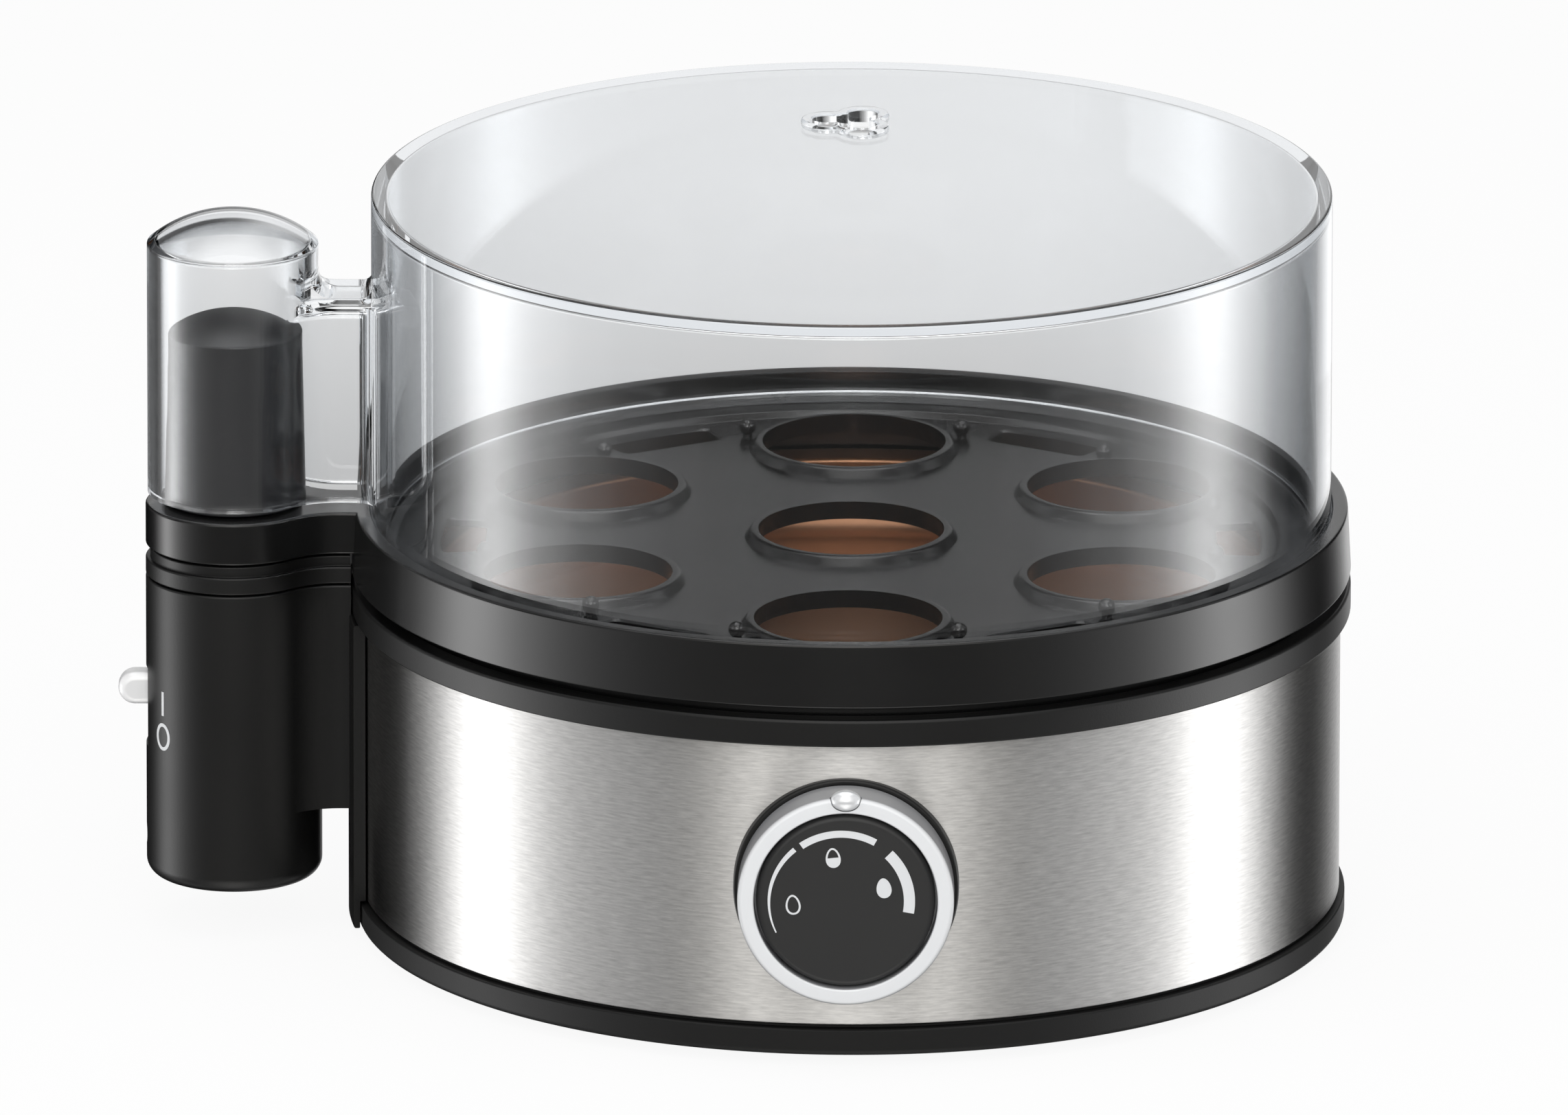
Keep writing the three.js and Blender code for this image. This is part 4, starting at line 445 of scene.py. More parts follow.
# %% Brushed scratches
def make_brushing():
    """Noise drawn out along the first coordinate: short and long scratches, as height and roughness."""
    group, given, result = group_with(
        "brushed scratches",
        {"Vector": None, "Along": 40.0, "Across": 4000.0, "Roughness Low": 0.25, "Roughness High": 0.4},
        ("Height", "Tone", "Roughness"),
    )
    given = given.outputs
    stretch = node(group, "ShaderNodeCombineXYZ", {"X": given["Along"], "Y": given["Across"], "Z": 1})
    drawn = node(group, "ShaderNodeVectorMath",
                 {0: given["Vector"], 1: stretch.outputs["Vector"]}, operation="MULTIPLY")
    scratch = node(group, "ShaderNodeTexNoise",
                   {"Vector": drawn.outputs["Vector"], "Scale": 1, "Detail": 4, "Roughness": 0.6})
    rough = range_of(group, scratch.outputs["Fac"], given["Roughness Low"], given["Roughness High"])
    group.links.new(scratch.outputs["Fac"], result.inputs["Height"])
    group.links.new(scratch.outputs["Fac"], result.inputs["Tone"])
    group.links.new(rough, result.inputs["Roughness"])
    return group


GRAIN = make_grain()
BRUSHING = make_brushing()
print("node groups:", [group.name for group in bpy.data.node_groups])


# %% A material with its shader
GRAIN_FLATNESS = 10  # a grain is this many times wider than deep


def new_material(name, **sockets):
    """Material with one Principled BSDF; the sockets are set by name, underscores for spaces."""
    material = bpy.data.materials.new(name)
    material.use_nodes = True
    shader = material.node_tree.nodes["Principled BSDF"]
    for socket, value in sockets.items():
        shader.inputs[socket.replace("_", " ")].default_value = value
    return material, material.node_tree, shader


def add_bump(tree, shader, height, strength, depth):
    """Bump from a height socket, with its depth in metres."""
    bump = node(tree, "ShaderNodeBump", {"Strength": strength, "Distance": depth, "Height": height})
    tree.links.new(bump.outputs["Normal"], shader.inputs["Normal"])


def grained(name, colour, roughness, grain_size=0.4, strength=0.2, **sockets):
    """Moulded material: colour, a (low, high) roughness and a grain size in millimetres."""
    material, tree, shader = new_material(name, Base_Color=(*colour, 1), **sockets)
    grain = node(tree, "ShaderNodeGroup", {
        "Vector": node(tree, "ShaderNodeTexCoord").outputs["Object"],
        "Grain Scale": 1 / (grain_size * MM),
        "Roughness Low": roughness[0], "Roughness High": roughness[1],
    }, node_tree=GRAIN)
    tree.links.new(grain.outputs["Roughness"], shader.inputs["Roughness"])
    add_bump(tree, shader, grain.outputs["Height"], strength, grain_size * MM / GRAIN_FLATNESS)
    return material


def darken_along(material, colour, edge_colour):
    """Base colour that goes from colour, seen straight on, to edge_colour, seen along the surface."""
    tree = material.node_tree
    facing = node(tree, "ShaderNodeLayerWeight").outputs["Facing"]
    tone = mixed(tree, facing, (*colour, 1), (*edge_colour, 1))
    tree.links.new(tone, tree.nodes["Principled BSDF"].inputs["Base Color"])


# %% [markdown]
# ## Moulded plastics, rubber and paint
# The housing is satin black plastic, the carrier is the same in a dark grey, and the knob is painted
# in a pale pearl. They differ in colour, gloss and grain size, so one function makes them all.

# %% Plastics and paints
PEARL_TONE, PEARL_EDGE = (0.77, 0.78, 0.79), (0.10, 0.10, 0.11)
BLACK = grained("satin_black", (0.004, 0.004, 0.004), (0.34, 0.40), 0.35, 0.4, Specular_IOR_Level=0.36)
MATT_BLACK = grained("matt_black", (0.004, 0.004, 0.004), (0.46, 0.54), 0.35, 0.4,
                     Specular_IOR_Level=0.28)
GREY = grained("satin_grey", (0.005, 0.005, 0.005), (0.20, 0.26), 0.35, 0.2)
FINE_GREY = grained("fine_satin_grey", (0.012, 0.012, 0.013), (0.38, 0.44), 0.35, 0.3,
                    Specular_IOR_Level=0.70)
DISC_BLACK = grained("disc_black", (0.022, 0.022, 0.022), (0.36, 0.42), 0.35, 0.3,
                     Specular_IOR_Level=0.36)
RUBBER = grained("matt_rubber", (0.020, 0.020, 0.020), (0.75, 0.85), 0.5, 0.3)
SATIN_METAL = grained("satin_metal", (0.92, 0.92, 0.92), (0.28, 0.34), 0.2, 0.03, Metallic=0.15)
PEARL_METAL = grained("pearl_metal", (0.78, 0.79, 0.80), (0.26, 0.30), 0.2, 0.03,
                      Metallic=0.4, Coat_Weight=0.5)
PEARL = grained("pearl_paint", PEARL_TONE, (0.30, 0.36), 0.2, 0.03, Coat_Weight=0.3, Coat_Roughness=0.1)
darken_along(PEARL, PEARL_TONE, PEARL_EDGE)
PRINT = grained("white_print", (0.68, 0.69, 0.70), (0.45, 0.55), 0.3, 0.05)
BOARD = grained("circuit_board", (0.02, 0.12, 0.05), (0.35, 0.5), 0.8, 0.2)
INSULATION = grained("pale_insulation", (0.45, 0.40, 0.33), (0.5, 0.65), 0.6, 0.2)
COPPER_COAT = grained("copper_coating", (0.30, 0.15, 0.08), (0.28, 0.40), 0.5, 0.15, Metallic=0.7)
print("plastics and paints ready")


# %% [markdown]
# ## Brushed and plated metal
# The jacket is brushed round the drum: fine scratches run along the sheet, so light spreads up and
# down but stays narrow sideways. That is what the shader's anisotropy does, with its direction taken
# from the sheet's own UV map. The scratches themselves come from the drawn-out noise.

# %% Metals
ACROSS_THE_SCRATCHES = 0.25  # a quarter turn: light spreads across the scratches, not along them
SCRATCH_STRENGTH, SCRATCH_DEPTH = 0.12, 0.00004  # of the bump, the depth in metres


def brushed(name, colour, roughness, along, across, anisotropic=0.0, coordinates="Object", darkest=0.88):
    """Brushed metal: the pattern's scales are in 1 per metre along and across the scratches."""
    material, tree, shader = new_material(
        name, Metallic=1.0, Anisotropic=anisotropic, Anisotropic_Rotation=ACROSS_THE_SCRATCHES)
    scratches = node(tree, "ShaderNodeGroup", {
        "Vector": node(tree, "ShaderNodeTexCoord").outputs[coordinates],
        "Along": along, "Across": across,
        "Roughness Low": roughness[0], "Roughness High": roughness[1],
    }, node_tree=BRUSHING).outputs
    darker = [value * darkest for value in colour]
    tone = mixed(tree, scratches["Tone"], (*darker, 1), (*colour, 1))
    tree.links.new(tone, shader.inputs["Base Color"])
    tree.links.new(scratches["Roughness"], shader.inputs["Roughness"])
    add_bump(tree, shader, scratches["Height"], SCRATCH_STRENGTH, SCRATCH_DEPTH)
    if coordinates == "UV":
        tangent = node(tree, "ShaderNodeTangent", direction_type="UV_MAP", uv_map="UVMap")
        tree.links.new(tangent.outputs["Tangent"], shader.inputs["Tangent"])
    return material


STEEL = brushed("brushed_steel", (0.97, 0.960, 0.945), (0.37, 0.44), 300, 2600, 0.99, "UV", 0.40)
PLATED = brushed("satin_plating", (0.78, 0.78, 0.79), (0.20, 0.30), 300, 2500)
DULL_STEEL = brushed("inner_steel", (0.60, 0.59, 0.57), (0.30, 0.45), 200, 1500)
print("metals ready")


# %% [markdown]
# ## Clear plastic
# The lid is thick clear plastic, so it is a real solid with two surfaces that bend the light, and
# the blue-grey tone of its edges comes from looking along the wall. Light from lamps would be blocked
# by refracting glass, so for shadow rays a see-through shader takes its place. It does so too for
# light that has bounced many times inside the wall, which would otherwise end in black.

# %% Clear plastic that lets lamp light through
MOST_BOUNCES = 4.5  # inside the plastic, before it lets the light out


def clear_plastic(name, colour, edge_colour, shadow_colour):
    """Refracting shader, swapped for a transparent one where a ray asks for shadow. The tone goes from
    colour, straight on, to edge_colour, along the wall."""
    material, tree, shader = new_material(name, Roughness=0.015, IOR=1.49, Transmission_Weight=1.0)
    darken_along(material, colour, edge_colour)
    path = node(tree, "ShaderNodeLightPath").outputs
    trapped = calculate(tree, "GREATER_THAN", path["Ray Depth"], MOST_BOUNCES)
    through = node(tree, "ShaderNodeBsdfTransparent", {"Color": (*shadow_colour, 1)})
    swap = mixed_shader(tree, calculate(tree, "MAXIMUM", path["Is Shadow Ray"], trapped),
                        shader.outputs["BSDF"], through.outputs["BSDF"])
    tree.links.new(swap, tree.nodes["Material Output"].inputs["Surface"])
    return material


CLEAR = clear_plastic("clear_plastic", (0.955, 0.960, 0.965), (0.66, 0.69, 0.72), (0.93, 0.94, 0.95))
LENS = clear_plastic("lamp_lens", (0.75, 0.20, 0.12), (0.6, 0.15, 0.10), (0.7, 0.3, 0.25))
print("clear plastics ready")

# %% [markdown]
# ## Floor, world and lamps
# The photograph has a plain white ground. The world is white where the camera looks, and for
# reflections it is a studio: soft boxes with darker gaps between them, which is what gives round steel
# its bands. It has two heights, because steel mirrors what is a little below the horizon and a round
# edge what is above it. A white card stands behind the cooker, where the clear lid looks. An image of
# a real studio would do it too, but plain numbers are easier to change.
#
# The floor is white, keeps a faint shadow and isn't seen in reflections. The lamps only light the
# cooker and aren't seen in it either, so that all bright bands on it come from the world.

# %% World: white ground and soft boxes with gaps
AMBIENT = 0.42  # for light that a matt surface scattered
OVERHEAD = 2.2
OVERHEAD_START, OVERHEAD_FULL = 0.80, 0.97  # heights on the unit ball
UPPER_BANDS = (  # direction from the front in degrees, seen from above, and brightness there
    (-180, 0.12), (-172, 0.00), (-156, 0.00), (-144, 0.00), (-132, 0.21), (-120, 0.24), (-108, 0.87),
    (-96, 0.69), (-84, 0.00), (-72, 0.33), (-60, 0.53), (-48, 0.44), (-36, 0.58), (-24, 1.74),
    (-12, 1.37), (0, 2.54), (12, 1.37), (24, 1.56), (36, 0.61), (48, 0.46), (60, 0.51), (72, 0.71),
    (84, 0.00), (96, 0.69), (108, 0.89), (120, 0.10), (132, 0.07), (144, 0.02), (156, 0.00),
    (168, 0.62), (180, 0.12),
)
LOWER_BANDS = (  # the same a little below the horizon: only the two side boxes reach down there
    (-180, 0.4), (-172, 0.0), (-132, 0.00), (-120, 0.33), (-108, 2.1), (-97, 5.3), (-84, 3.1),
    (-72, 1.60), (-60, 0.80), (-48, 0.42), (-36, 0.26), (-24, 0.15), (0, 0.12), (24, 0.13),
    (36, 0.26), (48, 0.42), (60, 0.80), (72, 1.40), (84, 2.9), (97, 5.1), (108, 2.6), (120, 0.60),
    (132, 0.00), (144, 0.00), (156, 0.60), (168, 1.25), (174, 0.9), (180, 0.4),
)
WARM, WARM_HALF = (1.0, 0.985, 0.955), 40  # the table's tint in front, and its reach in degrees
LOWER_MIDDLE, LOWER_FULL, LOWER_END = -0.29, 0.20, 0.28  # heights on the unit ball
REAR_CARD, REAR_CARD_DIMMED = 1.0, 0.35  # white card behind the cooker, and seen through the lid
REAR_START, REAR_FULL = 0.93, 0.95  # the card's edges, as depths on the unit ball
REAR_FOOT = 0.1  # height on the unit ball above which the card stands
FEW_REFLECTIONS = 2.5  # light that has been reflected more often is trapped in the lid's wall
FEW_SURFACES = 2.5  # of clear plastic that light has passed
AT_LEAST_ONCE = 0.5  # a count of bounces above this is one or more


def band_ramp(tree, turn, bands):
    """Colour ramp over a full turn, from -180 to 180 degrees, with one stop for each band. A stop
    can't be brighter than 1, so the ramp is scaled up by the brightest band."""
    brightest = max(brightness for _, brightness in bands)
    ramp = node(tree, "ShaderNodeValToRGB")
    ramp.color_ramp.interpolation = "CARDINAL"
    stops = ramp.color_ramp.elements
    while len(stops) > 1:
        stops.remove(stops[-1])
    for index, (degrees, brightness) in enumerate(bands):
        stop = stops[0] if index == 0 else stops.new(degrees / 360 + 0.5)
        stop.position = degrees / 360 + 0.5
        tint = WARM if abs(degrees) < WARM_HALF else (1, 1, 1)
        stop.color = (*[channel * brightness / brightest for channel in tint], 1)
    tree.links.new(turn, ramp.inputs["Fac"])
    scaling = {0: ramp.outputs["Color"], "Scale": brightest}
    return node(tree, "ShaderNodeVectorMath", scaling, operation="SCALE").outputs["Vector"]


def make_world():
    """White to the camera and through the plastic, soft boxes in reflections, an even level for the
    rest. The turn is the direction's angle from the front, as a share of a full turn."""
    world = bpy.data.worlds.new("studio")
    world.use_nodes = True
    world.cycles.sampling_method = "NONE"
    tree = world.node_tree
    direction = node(tree, "ShaderNodeTexCoord").outputs["Generated"]
    parts = node(tree, "ShaderNodeSeparateXYZ", {"Vector": direction}).outputs
    path = node(tree, "ShaderNodeLightPath").outputs
    towards_front = calculate(tree, "MULTIPLY", parts["Y"], -1.0)
    angle = calculate(tree, "ARCTAN2", parts["X"], towards_front)
    turn = calculate(tree, "ADD", calculate(tree, "MULTIPLY", angle, 1 / (2 * math.pi)), 0.5)
    off_lower = calculate(tree, "ABSOLUTE", calculate(tree, "SUBTRACT", parts["Z"], LOWER_MIDDLE))
    studio = mixed(tree, between(tree, off_lower, LOWER_END, LOWER_FULL),
                   band_ramp(tree, turn, UPPER_BANDS), band_ramp(tree, turn, LOWER_BANDS))
    studio = mixed(tree, between(tree, parts["Z"], OVERHEAD_START, OVERHEAD_FULL), studio, OVERHEAD)
    few_surfaces = calculate(tree, "LESS_THAN", path["Transmission Depth"], FEW_SURFACES)
    card = mixed(tree, few_surfaces, REAR_CARD_DIMMED, REAR_CARD)
    on_card = calculate(tree, "MULTIPLY", between(tree, parts["Y"], REAR_START, REAR_FULL),
                        calculate(tree, "GREATER_THAN", parts["Z"], REAR_FOOT))
    studio = mixed(tree, on_card, studio, card)
    reflected = calculate(tree, "MULTIPLY",
                          calculate(tree, "GREATER_THAN", path["Glossy Depth"], AT_LEAST_ONCE),
                          calculate(tree, "LESS_THAN", path["Glossy Depth"], FEW_REFLECTIONS))
    scattered = calculate(tree, "GREATER_THAN", path["Diffuse Depth"], AT_LEAST_ONCE)
    light = mixed(tree, scattered, mixed(tree, reflected, 1.0, studio), AMBIENT)
    tree.links.new(light, tree.nodes["Background"].inputs["Color"])
    tree.nodes["Background"].inputs["Strength"].default_value = 1
    return world


bpy.context.scene.world = make_world()
print("world:", len(UPPER_BANDS), "upper and", len(LOWER_BANDS), "lower bands")

# %% White floor that keeps a faint shadow
FLOOR_HALF = 4000.0
FLOOR_SHADOW_SHARE = 0.08  # of what the camera sees
FLOOR_NEAR, FLOOR_FAR = 0.23, 0.47  # metres from the middle over which the floor's painted shade fades to white
# painted shade on the floor as seen through the lid: its tone near the cooker and farther back
FLOOR_PAINTED_SHADE_NEAR, FLOOR_PAINTED_SHADE_FAR = 0.52, 0.97
floor_height = cad_low.z / MM


def make_floor():
    """White matt floor, mostly plain white to the camera. Through the lid it shows painted shade:
    greyer near the cooker and white farther back, standing in for the cooker's shade on the floor."""
    outline = rectangle(-FLOOR_HALF, -FLOOR_HALF, FLOOR_HALF, FLOOR_HALF)
    floor = put("floor", level(outline, floor_height), [[0, 1, 2, 3]])
    material, tree, shader = new_material(
        "white_floor", Base_Color=(0.9, 0.9, 0.9, 1), Roughness=0.9, Specular_IOR_Level=0)
    path = node(tree, "ShaderNodeLightPath").outputs
    place = node(tree, "ShaderNodeTexCoord").outputs["Object"]
    distance = node(tree, "ShaderNodeVectorMath", {0: place}, operation="LENGTH").outputs["Value"]
    # painted shade: seen through the lid, the floor's glow is greyer near the cooker, in place of its
    # shade
    tone = node(tree, "ShaderNodeMapRange", {
        "Value": distance, "From Min": FLOOR_NEAR, "From Max": FLOOR_FAR,
        "To Min": FLOOR_PAINTED_SHADE_NEAR, "To Max": FLOOR_PAINTED_SHADE_FAR}).outputs["Result"]
    glow = node(tree, "ShaderNodeEmission", {"Color": mixed(tree, path["Is Camera Ray"], tone, 1.0)})
    glowing = node(tree, "ShaderNodeMath", {
        0: path["Is Camera Ray"], 1: 1 - FLOOR_SHADOW_SHARE, 2: path["Is Transmission Ray"],
    }, operation="MULTIPLY_ADD").outputs["Value"]
    paper = mixed_shader(tree, glowing, shader.outputs["BSDF"], glow.outputs["Emission"])
    mirrored = calculate(tree, "GREATER_THAN", path["Glossy Depth"], AT_LEAST_ONCE)
    nothing = node(tree, "ShaderNodeBsdfTransparent").outputs["BSDF"]
    tree.links.new(mixed_shader(tree, mirrored, paper, nothing),
                   tree.nodes["Material Output"].inputs["Surface"])
    floor.data.materials.append(material)
    floor.visible_glossy = False
    floor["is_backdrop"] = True


make_floor()


# %% Soft lamps
LAMPS = (  # name, place and size in millimetres, power in watts
    ("overhead_box", (0, -200, 1300), 1200, 5),
    ("left_box", (-1300, -700, 700), 900, 6),
    ("right_box", (1300, -700, 700), 900, 6),
    ("front_box", (0, -1600, 900), 900, 9),
)


def lamp(name, place, size, power):
    """Square soft box at a place in millimetres, aimed at the cooker's middle."""
    light = bpy.data.lights.new(name, "AREA")
    light.size = size * MM
    light.energy = power
    holder = bpy.data.objects.new(name, light)
    holder.location = Vector(place) * MM
    aim = Vector((0, 0, CAMERA_TARGET_HEIGHT)) * MM - holder.location
    holder.rotation_euler = aim.to_track_quat("-Z", "Y").to_euler()
    holder.visible_glossy = False
    bpy.context.collection.objects.link(holder)


for values in LAMPS:
    lamp(*values)
print("lamps:", len(LAMPS))

# %% [markdown]
# ## Steel jacket
# On the real cooker this is a sheet half a millimetre thick, bent round the drum and closed behind
# the tower. It could be a thin cylinder with Solidify, but a section carried round the drum gives the
# folded edges at top and bottom directly, and its angle and height give the UV map for the brushing.

# %% Jacket sheet with the holes for knob and gland
JACKET_THICKNESS = 0.5
JACKET_GAP = math.radians(7.5)  # half of the opening at the tower
JACKET_STEPS = 240
JACKET_EDGE = 0.18
KNOB_HOLE_RADIUS = 14.3
GLAND_HEIGHT = middle_of("cable_gland")[2]
GLAND_HOLE_RADIUS = 6.1


def swept_section(name, section, start, end, steps):
    """A closed section of (radius, height) carried round the Z axis between two angles."""
    section = np.asarray(section, float)
    angle = np.linspace(start, end, steps + 1)
    x = section[None, :, 0] * np.cos(angle)[:, None]
    y = section[None, :, 0] * np.sin(angle)[:, None]
    z = np.repeat(section[None, :, 1], len(angle), 0)
    return loft(name, np.stack((x, y, z), -1))


UPRIGHT = 0.9  # a rod whose direction rises more than this counts as upright


def rod_between(name, radius, start, end, sides=96):
    """Round rod between two points: its circle stands square to the line between them."""
    start, end = np.asarray(start, float), np.asarray(end, float)
    axis = (end - start) / np.linalg.norm(end - start)
    side = np.cross(axis, (0, 0, 1) if abs(axis[2]) < UPRIGHT else (1, 0, 0))
    side /= np.linalg.norm(side)
    other = np.cross(axis, side)
    angle = np.linspace(0, 2 * np.pi, sides, endpoint=False)[:, None]
    circle = radius * (np.cos(angle) * side + np.sin(angle) * other)
    return loft(name, (start + circle, end + circle))


def add_wrapped_uv(piece):
    """UV map in metres: arc length round the drum across, height up."""
    mesh = piece.data
    corners = np.empty(len(mesh.loops), int)
    mesh.loops.foreach_get("vertex_index", corners)
    corner_points = points_of(mesh)[corners]
    turn = np.arctan2(corner_points[:, 1], corner_points[:, 0])
    uv = np.column_stack((turn * DRUM_RADIUS, corner_points[:, 2])) * MM
    layer = mesh.uv_layers.new(name="UVMap")
    layer.data.foreach_set("uv", uv.ravel())


sheet = rounded(rectangle(DRUM_RADIUS - JACKET_THICKNESS, JACKET_FOOT, DRUM_RADIUS, JACKET_TOP),
                JACKET_EDGE, steps=3)
jacket = swept_section("steel_jacket_skin", sheet, JACKET_GAP - math.pi, math.pi - JACKET_GAP,
                       JACKET_STEPS)
cut(jacket,
    rod_between("knob_hole", KNOB_HOLE_RADIUS,
                (0, -DRUM_RADIUS / 2, KNOB_HEIGHT), (0, -DRUM_RADIUS - WALL, KNOB_HEIGHT)),
    rod_between("gland_hole", GLAND_HOLE_RADIUS,
                (0, DRUM_RADIUS / 2, GLAND_HEIGHT), (0, DRUM_RADIUS + WALL, GLAND_HEIGHT)))
add_wrapped_uv(jacket)
dress(jacket, STEEL, "base", "steel", "steel_jacket")

# %% [markdown]
# ## Base pan
# The black pan carries everything and shows as a narrow band under the steel. It is turned like a
# dish; underneath it has cooling slots, recesses for the feet and counterbores for the case screws,
# and inside it has the bosses, the posts for the circuit board and the mast that holds the tower.
# Faces could be inset and pulled out by hand, but joined and cut bodies with named sizes keep every
# opening in its place when a size changes.

# %% Pan, its bosses and its openings
PAN_BAND_HEIGHT = JACKET_FOOT - 0.7
PAN_FLOOR = 2.2
PAN_EDGE = 1.2
SPIGOT_RADIUS = DRUM_RADIUS - JACKET_THICKNESS - FIT
SPIGOT_HEIGHT = 5.0
CASE_SCREW_CIRCLE = DRUM_RADIUS - 6.5
CASE_ANGLES = np.radians([45, 135, 225, 315])
CASE_BOSS_RADIUS = 3.2
CASE_BOSS_TOP = PAN_FLOOR + 18
CASE_BORE_RADIUS = 1.7
COUNTERBORE_RADIUS = 3.1
COUNTERBORE_DEPTH = 3.0
FOOT_CIRCLE = DRUM_RADIUS - 22.8
FOOT_RADIUS = 6.0
FOOT_RECESS = 1.0
SLOT_COUNT = 9
SLOT_PITCH = 6.0
SLOT_WIDTH = 2.0
SLOT_NEAR, SLOT_FAR = -6.0, -36.0
MAST_HALF = math.radians(10)
MAST_INSET = 0.01  # keeps the mast's outer face off the pan's own wall
MAST_STEPS = 24
MAST_TOP = size_of("base_pan")[1][2]
BOARD_POST_SIZE = 5.0
BOARD_POST_OFFSET = 26.0
BOARD_POST_FRONT = FIT + size_of("control_board")[1][1]
BOARD_POST_TOP = size_of("control_board")[1][2] - 3


def rods(name, radius, low, high, places, sides=32):
    """Upright rods at several places, as one object."""
    return together(name, [revolve(name, rectangle(0, low, radius, high), place, sides)
                           for place in places])


def slot_outline(centre, width, near, far, steps=8):
    """A slot with round ends: half circles at both ends of a straight run along Y."""
    half_turn = np.linspace(0, np.pi, steps + 1)
    return np.vstack((on_circle(width / 2, half_turn, (centre, near - width / 2)),
                      on_circle(-width / 2, half_turn, (centre, far + width / 2))))


spigot_top = PAN_BAND_HEIGHT + SPIGOT_HEIGHT
pan = revolve("base_pan_body", rounded([
    (0, 0), (PAN_RADIUS, 0), (PAN_RADIUS, PAN_BAND_HEIGHT), (SPIGOT_RADIUS, PAN_BAND_HEIGHT),
    (SPIGOT_RADIUS, spigot_top), (SPIGOT_RADIUS - WALL, spigot_top),
    (SPIGOT_RADIUS - WALL, PAN_FLOOR), (0, PAN_FLOOR),
], [0, PAN_EDGE, 0.35, 0.1, 0.3, 0.3, 1, 0], closed=False))
case_places = on_circle(CASE_SCREW_CIRCLE, CASE_ANGLES)
foot_places = on_circle(FOOT_CIRCLE, CASE_ANGLES)
mast = swept_section(
    "mast", rectangle(SPIGOT_RADIUS - WALL, PAN_FLOOR / 2, SPIGOT_RADIUS - MAST_INSET, MAST_TOP),
    math.pi - MAST_HALF, math.pi + MAST_HALF, MAST_STEPS)
posts = together("board_posts", [
    block("board_post",
          (middle - BOARD_POST_SIZE / 2, BOARD_POST_FRONT, PAN_FLOOR / 2),
          (middle + BOARD_POST_SIZE / 2, BOARD_POST_FRONT + BOARD_POST_SIZE, BOARD_POST_TOP))
    for middle in (-BOARD_POST_OFFSET, BOARD_POST_OFFSET)])
join(pan, mast, posts,
     rods("bosses", CASE_BOSS_RADIUS, PAN_FLOOR / 2, CASE_BOSS_TOP, case_places),
     rods("counterbore_walls", COUNTERBORE_RADIUS + WALL / 2, PAN_FLOOR / 2, COUNTERBORE_DEPTH + WALL,
          case_places))
slot_middles = (np.arange(SLOT_COUNT) - (SLOT_COUNT - 1) / 2) * SLOT_PITCH
slots = together("slots", [
    slab("slot", slot_outline(middle, SLOT_WIDTH, SLOT_NEAR, SLOT_FAR), -OVERRUN, PAN_FLOOR + OVERRUN)
    for middle in slot_middles])
cut(pan, slots,
    rods("bores", CASE_BORE_RADIUS, -OVERRUN, CASE_BOSS_TOP + OVERRUN, case_places),
    rods("counterbores", COUNTERBORE_RADIUS, -OVERRUN, COUNTERBORE_DEPTH, case_places),
    rods("foot_recesses", FOOT_RADIUS + FIT, -OVERRUN, FOOT_RECESS, foot_places, 48))
dress(pan, MATT_BLACK, "base", "black_plastic", "base_pan")

# %% [markdown]
# ## Upper collar
# The collar clamps the top of the steel and carries the bowl and the carrier. Its raised rim has a
# small rounded edge that catches a thin line of light all round, so the profile's corners are rounded
# before it is turned, which is cheaper and cleaner than a Bevel modifier afterwards.

# %% Collar
COLLAR_FOOT = JACKET_TOP + FIT
COLLAR_RIM_RADIUS = COLLAR_RADIUS - 3.4
COLLAR_SPIGOT_FOOT = COLLAR_FOOT - 7
LEDGE = COLLAR_TOP - 2.6
LEDGE_INNER_RADIUS = COLLAR_RIM_RADIUS - 8.2
MAST_SLOT_HALF = MAST_HALF + 0.02
collar = revolve("upper_collar_body", rounded([
    (COLLAR_RIM_RADIUS, COLLAR_TOP), (COLLAR_RIM_RADIUS, LEDGE), (LEDGE_INNER_RADIUS, LEDGE),
    (LEDGE_INNER_RADIUS, LEDGE - WALL), (SPIGOT_RADIUS - WALL, LEDGE - WALL),
    (SPIGOT_RADIUS - WALL, COLLAR_SPIGOT_FOOT), (SPIGOT_RADIUS, COLLAR_SPIGOT_FOOT),
    (SPIGOT_RADIUS, COLLAR_FOOT), (COLLAR_RADIUS, COLLAR_FOOT), (COLLAR_RADIUS, COLLAR_TOP),
], [0.4, 0.3, 0.3, 0.3, 0.5, 0.3, 0.3, 0.1, 0.35, 0.6]))
columns = rods("columns", CASE_BOSS_RADIUS, CASE_BOSS_TOP + FIT, LEDGE - WALL / 2, case_places)
column_bores = rods("column_bores", CASE_BORE_RADIUS, CASE_BOSS_TOP - OVERRUN, LEDGE - 2 * WALL,
                    case_places)
mast_slot = swept_section(
    "mast_slot", rectangle(SPIGOT_RADIUS - WALL - FIT, COLLAR_SPIGOT_FOOT - OVERRUN,
                           SPIGOT_RADIUS + FIT, COLLAR_FOOT - FIT),
    math.pi - MAST_SLOT_HALF, math.pi + MAST_SLOT_HALF, MAST_STEPS)
join(collar, columns)
cut(collar, column_bores, mast_slot)
dress(collar, BLACK, "base", "black_plastic", "upper_collar")

# %% [markdown]
# ## The tower's outline
# Tower, cap, carrier and lid all share one keyhole outline: a circle, a straight neck towards the
# drum and a soft fillet between them. Each ring of points is this outline, inset by some distance and
# ended on the drum's round wall, so that stacked rings make walls, steps and rounded edges.

# %% Keyhole outline and bodies
NECK_HALF_WIDTH = 7.8
NECK_FILLET = 12.0
FILLET_STEPS = 12
TOWER_STEPS = 96
CLOSING_STEPS = 24
END_STEPS = 10
TOWER_AXIS = (-TOWER_OFFSET, 0)


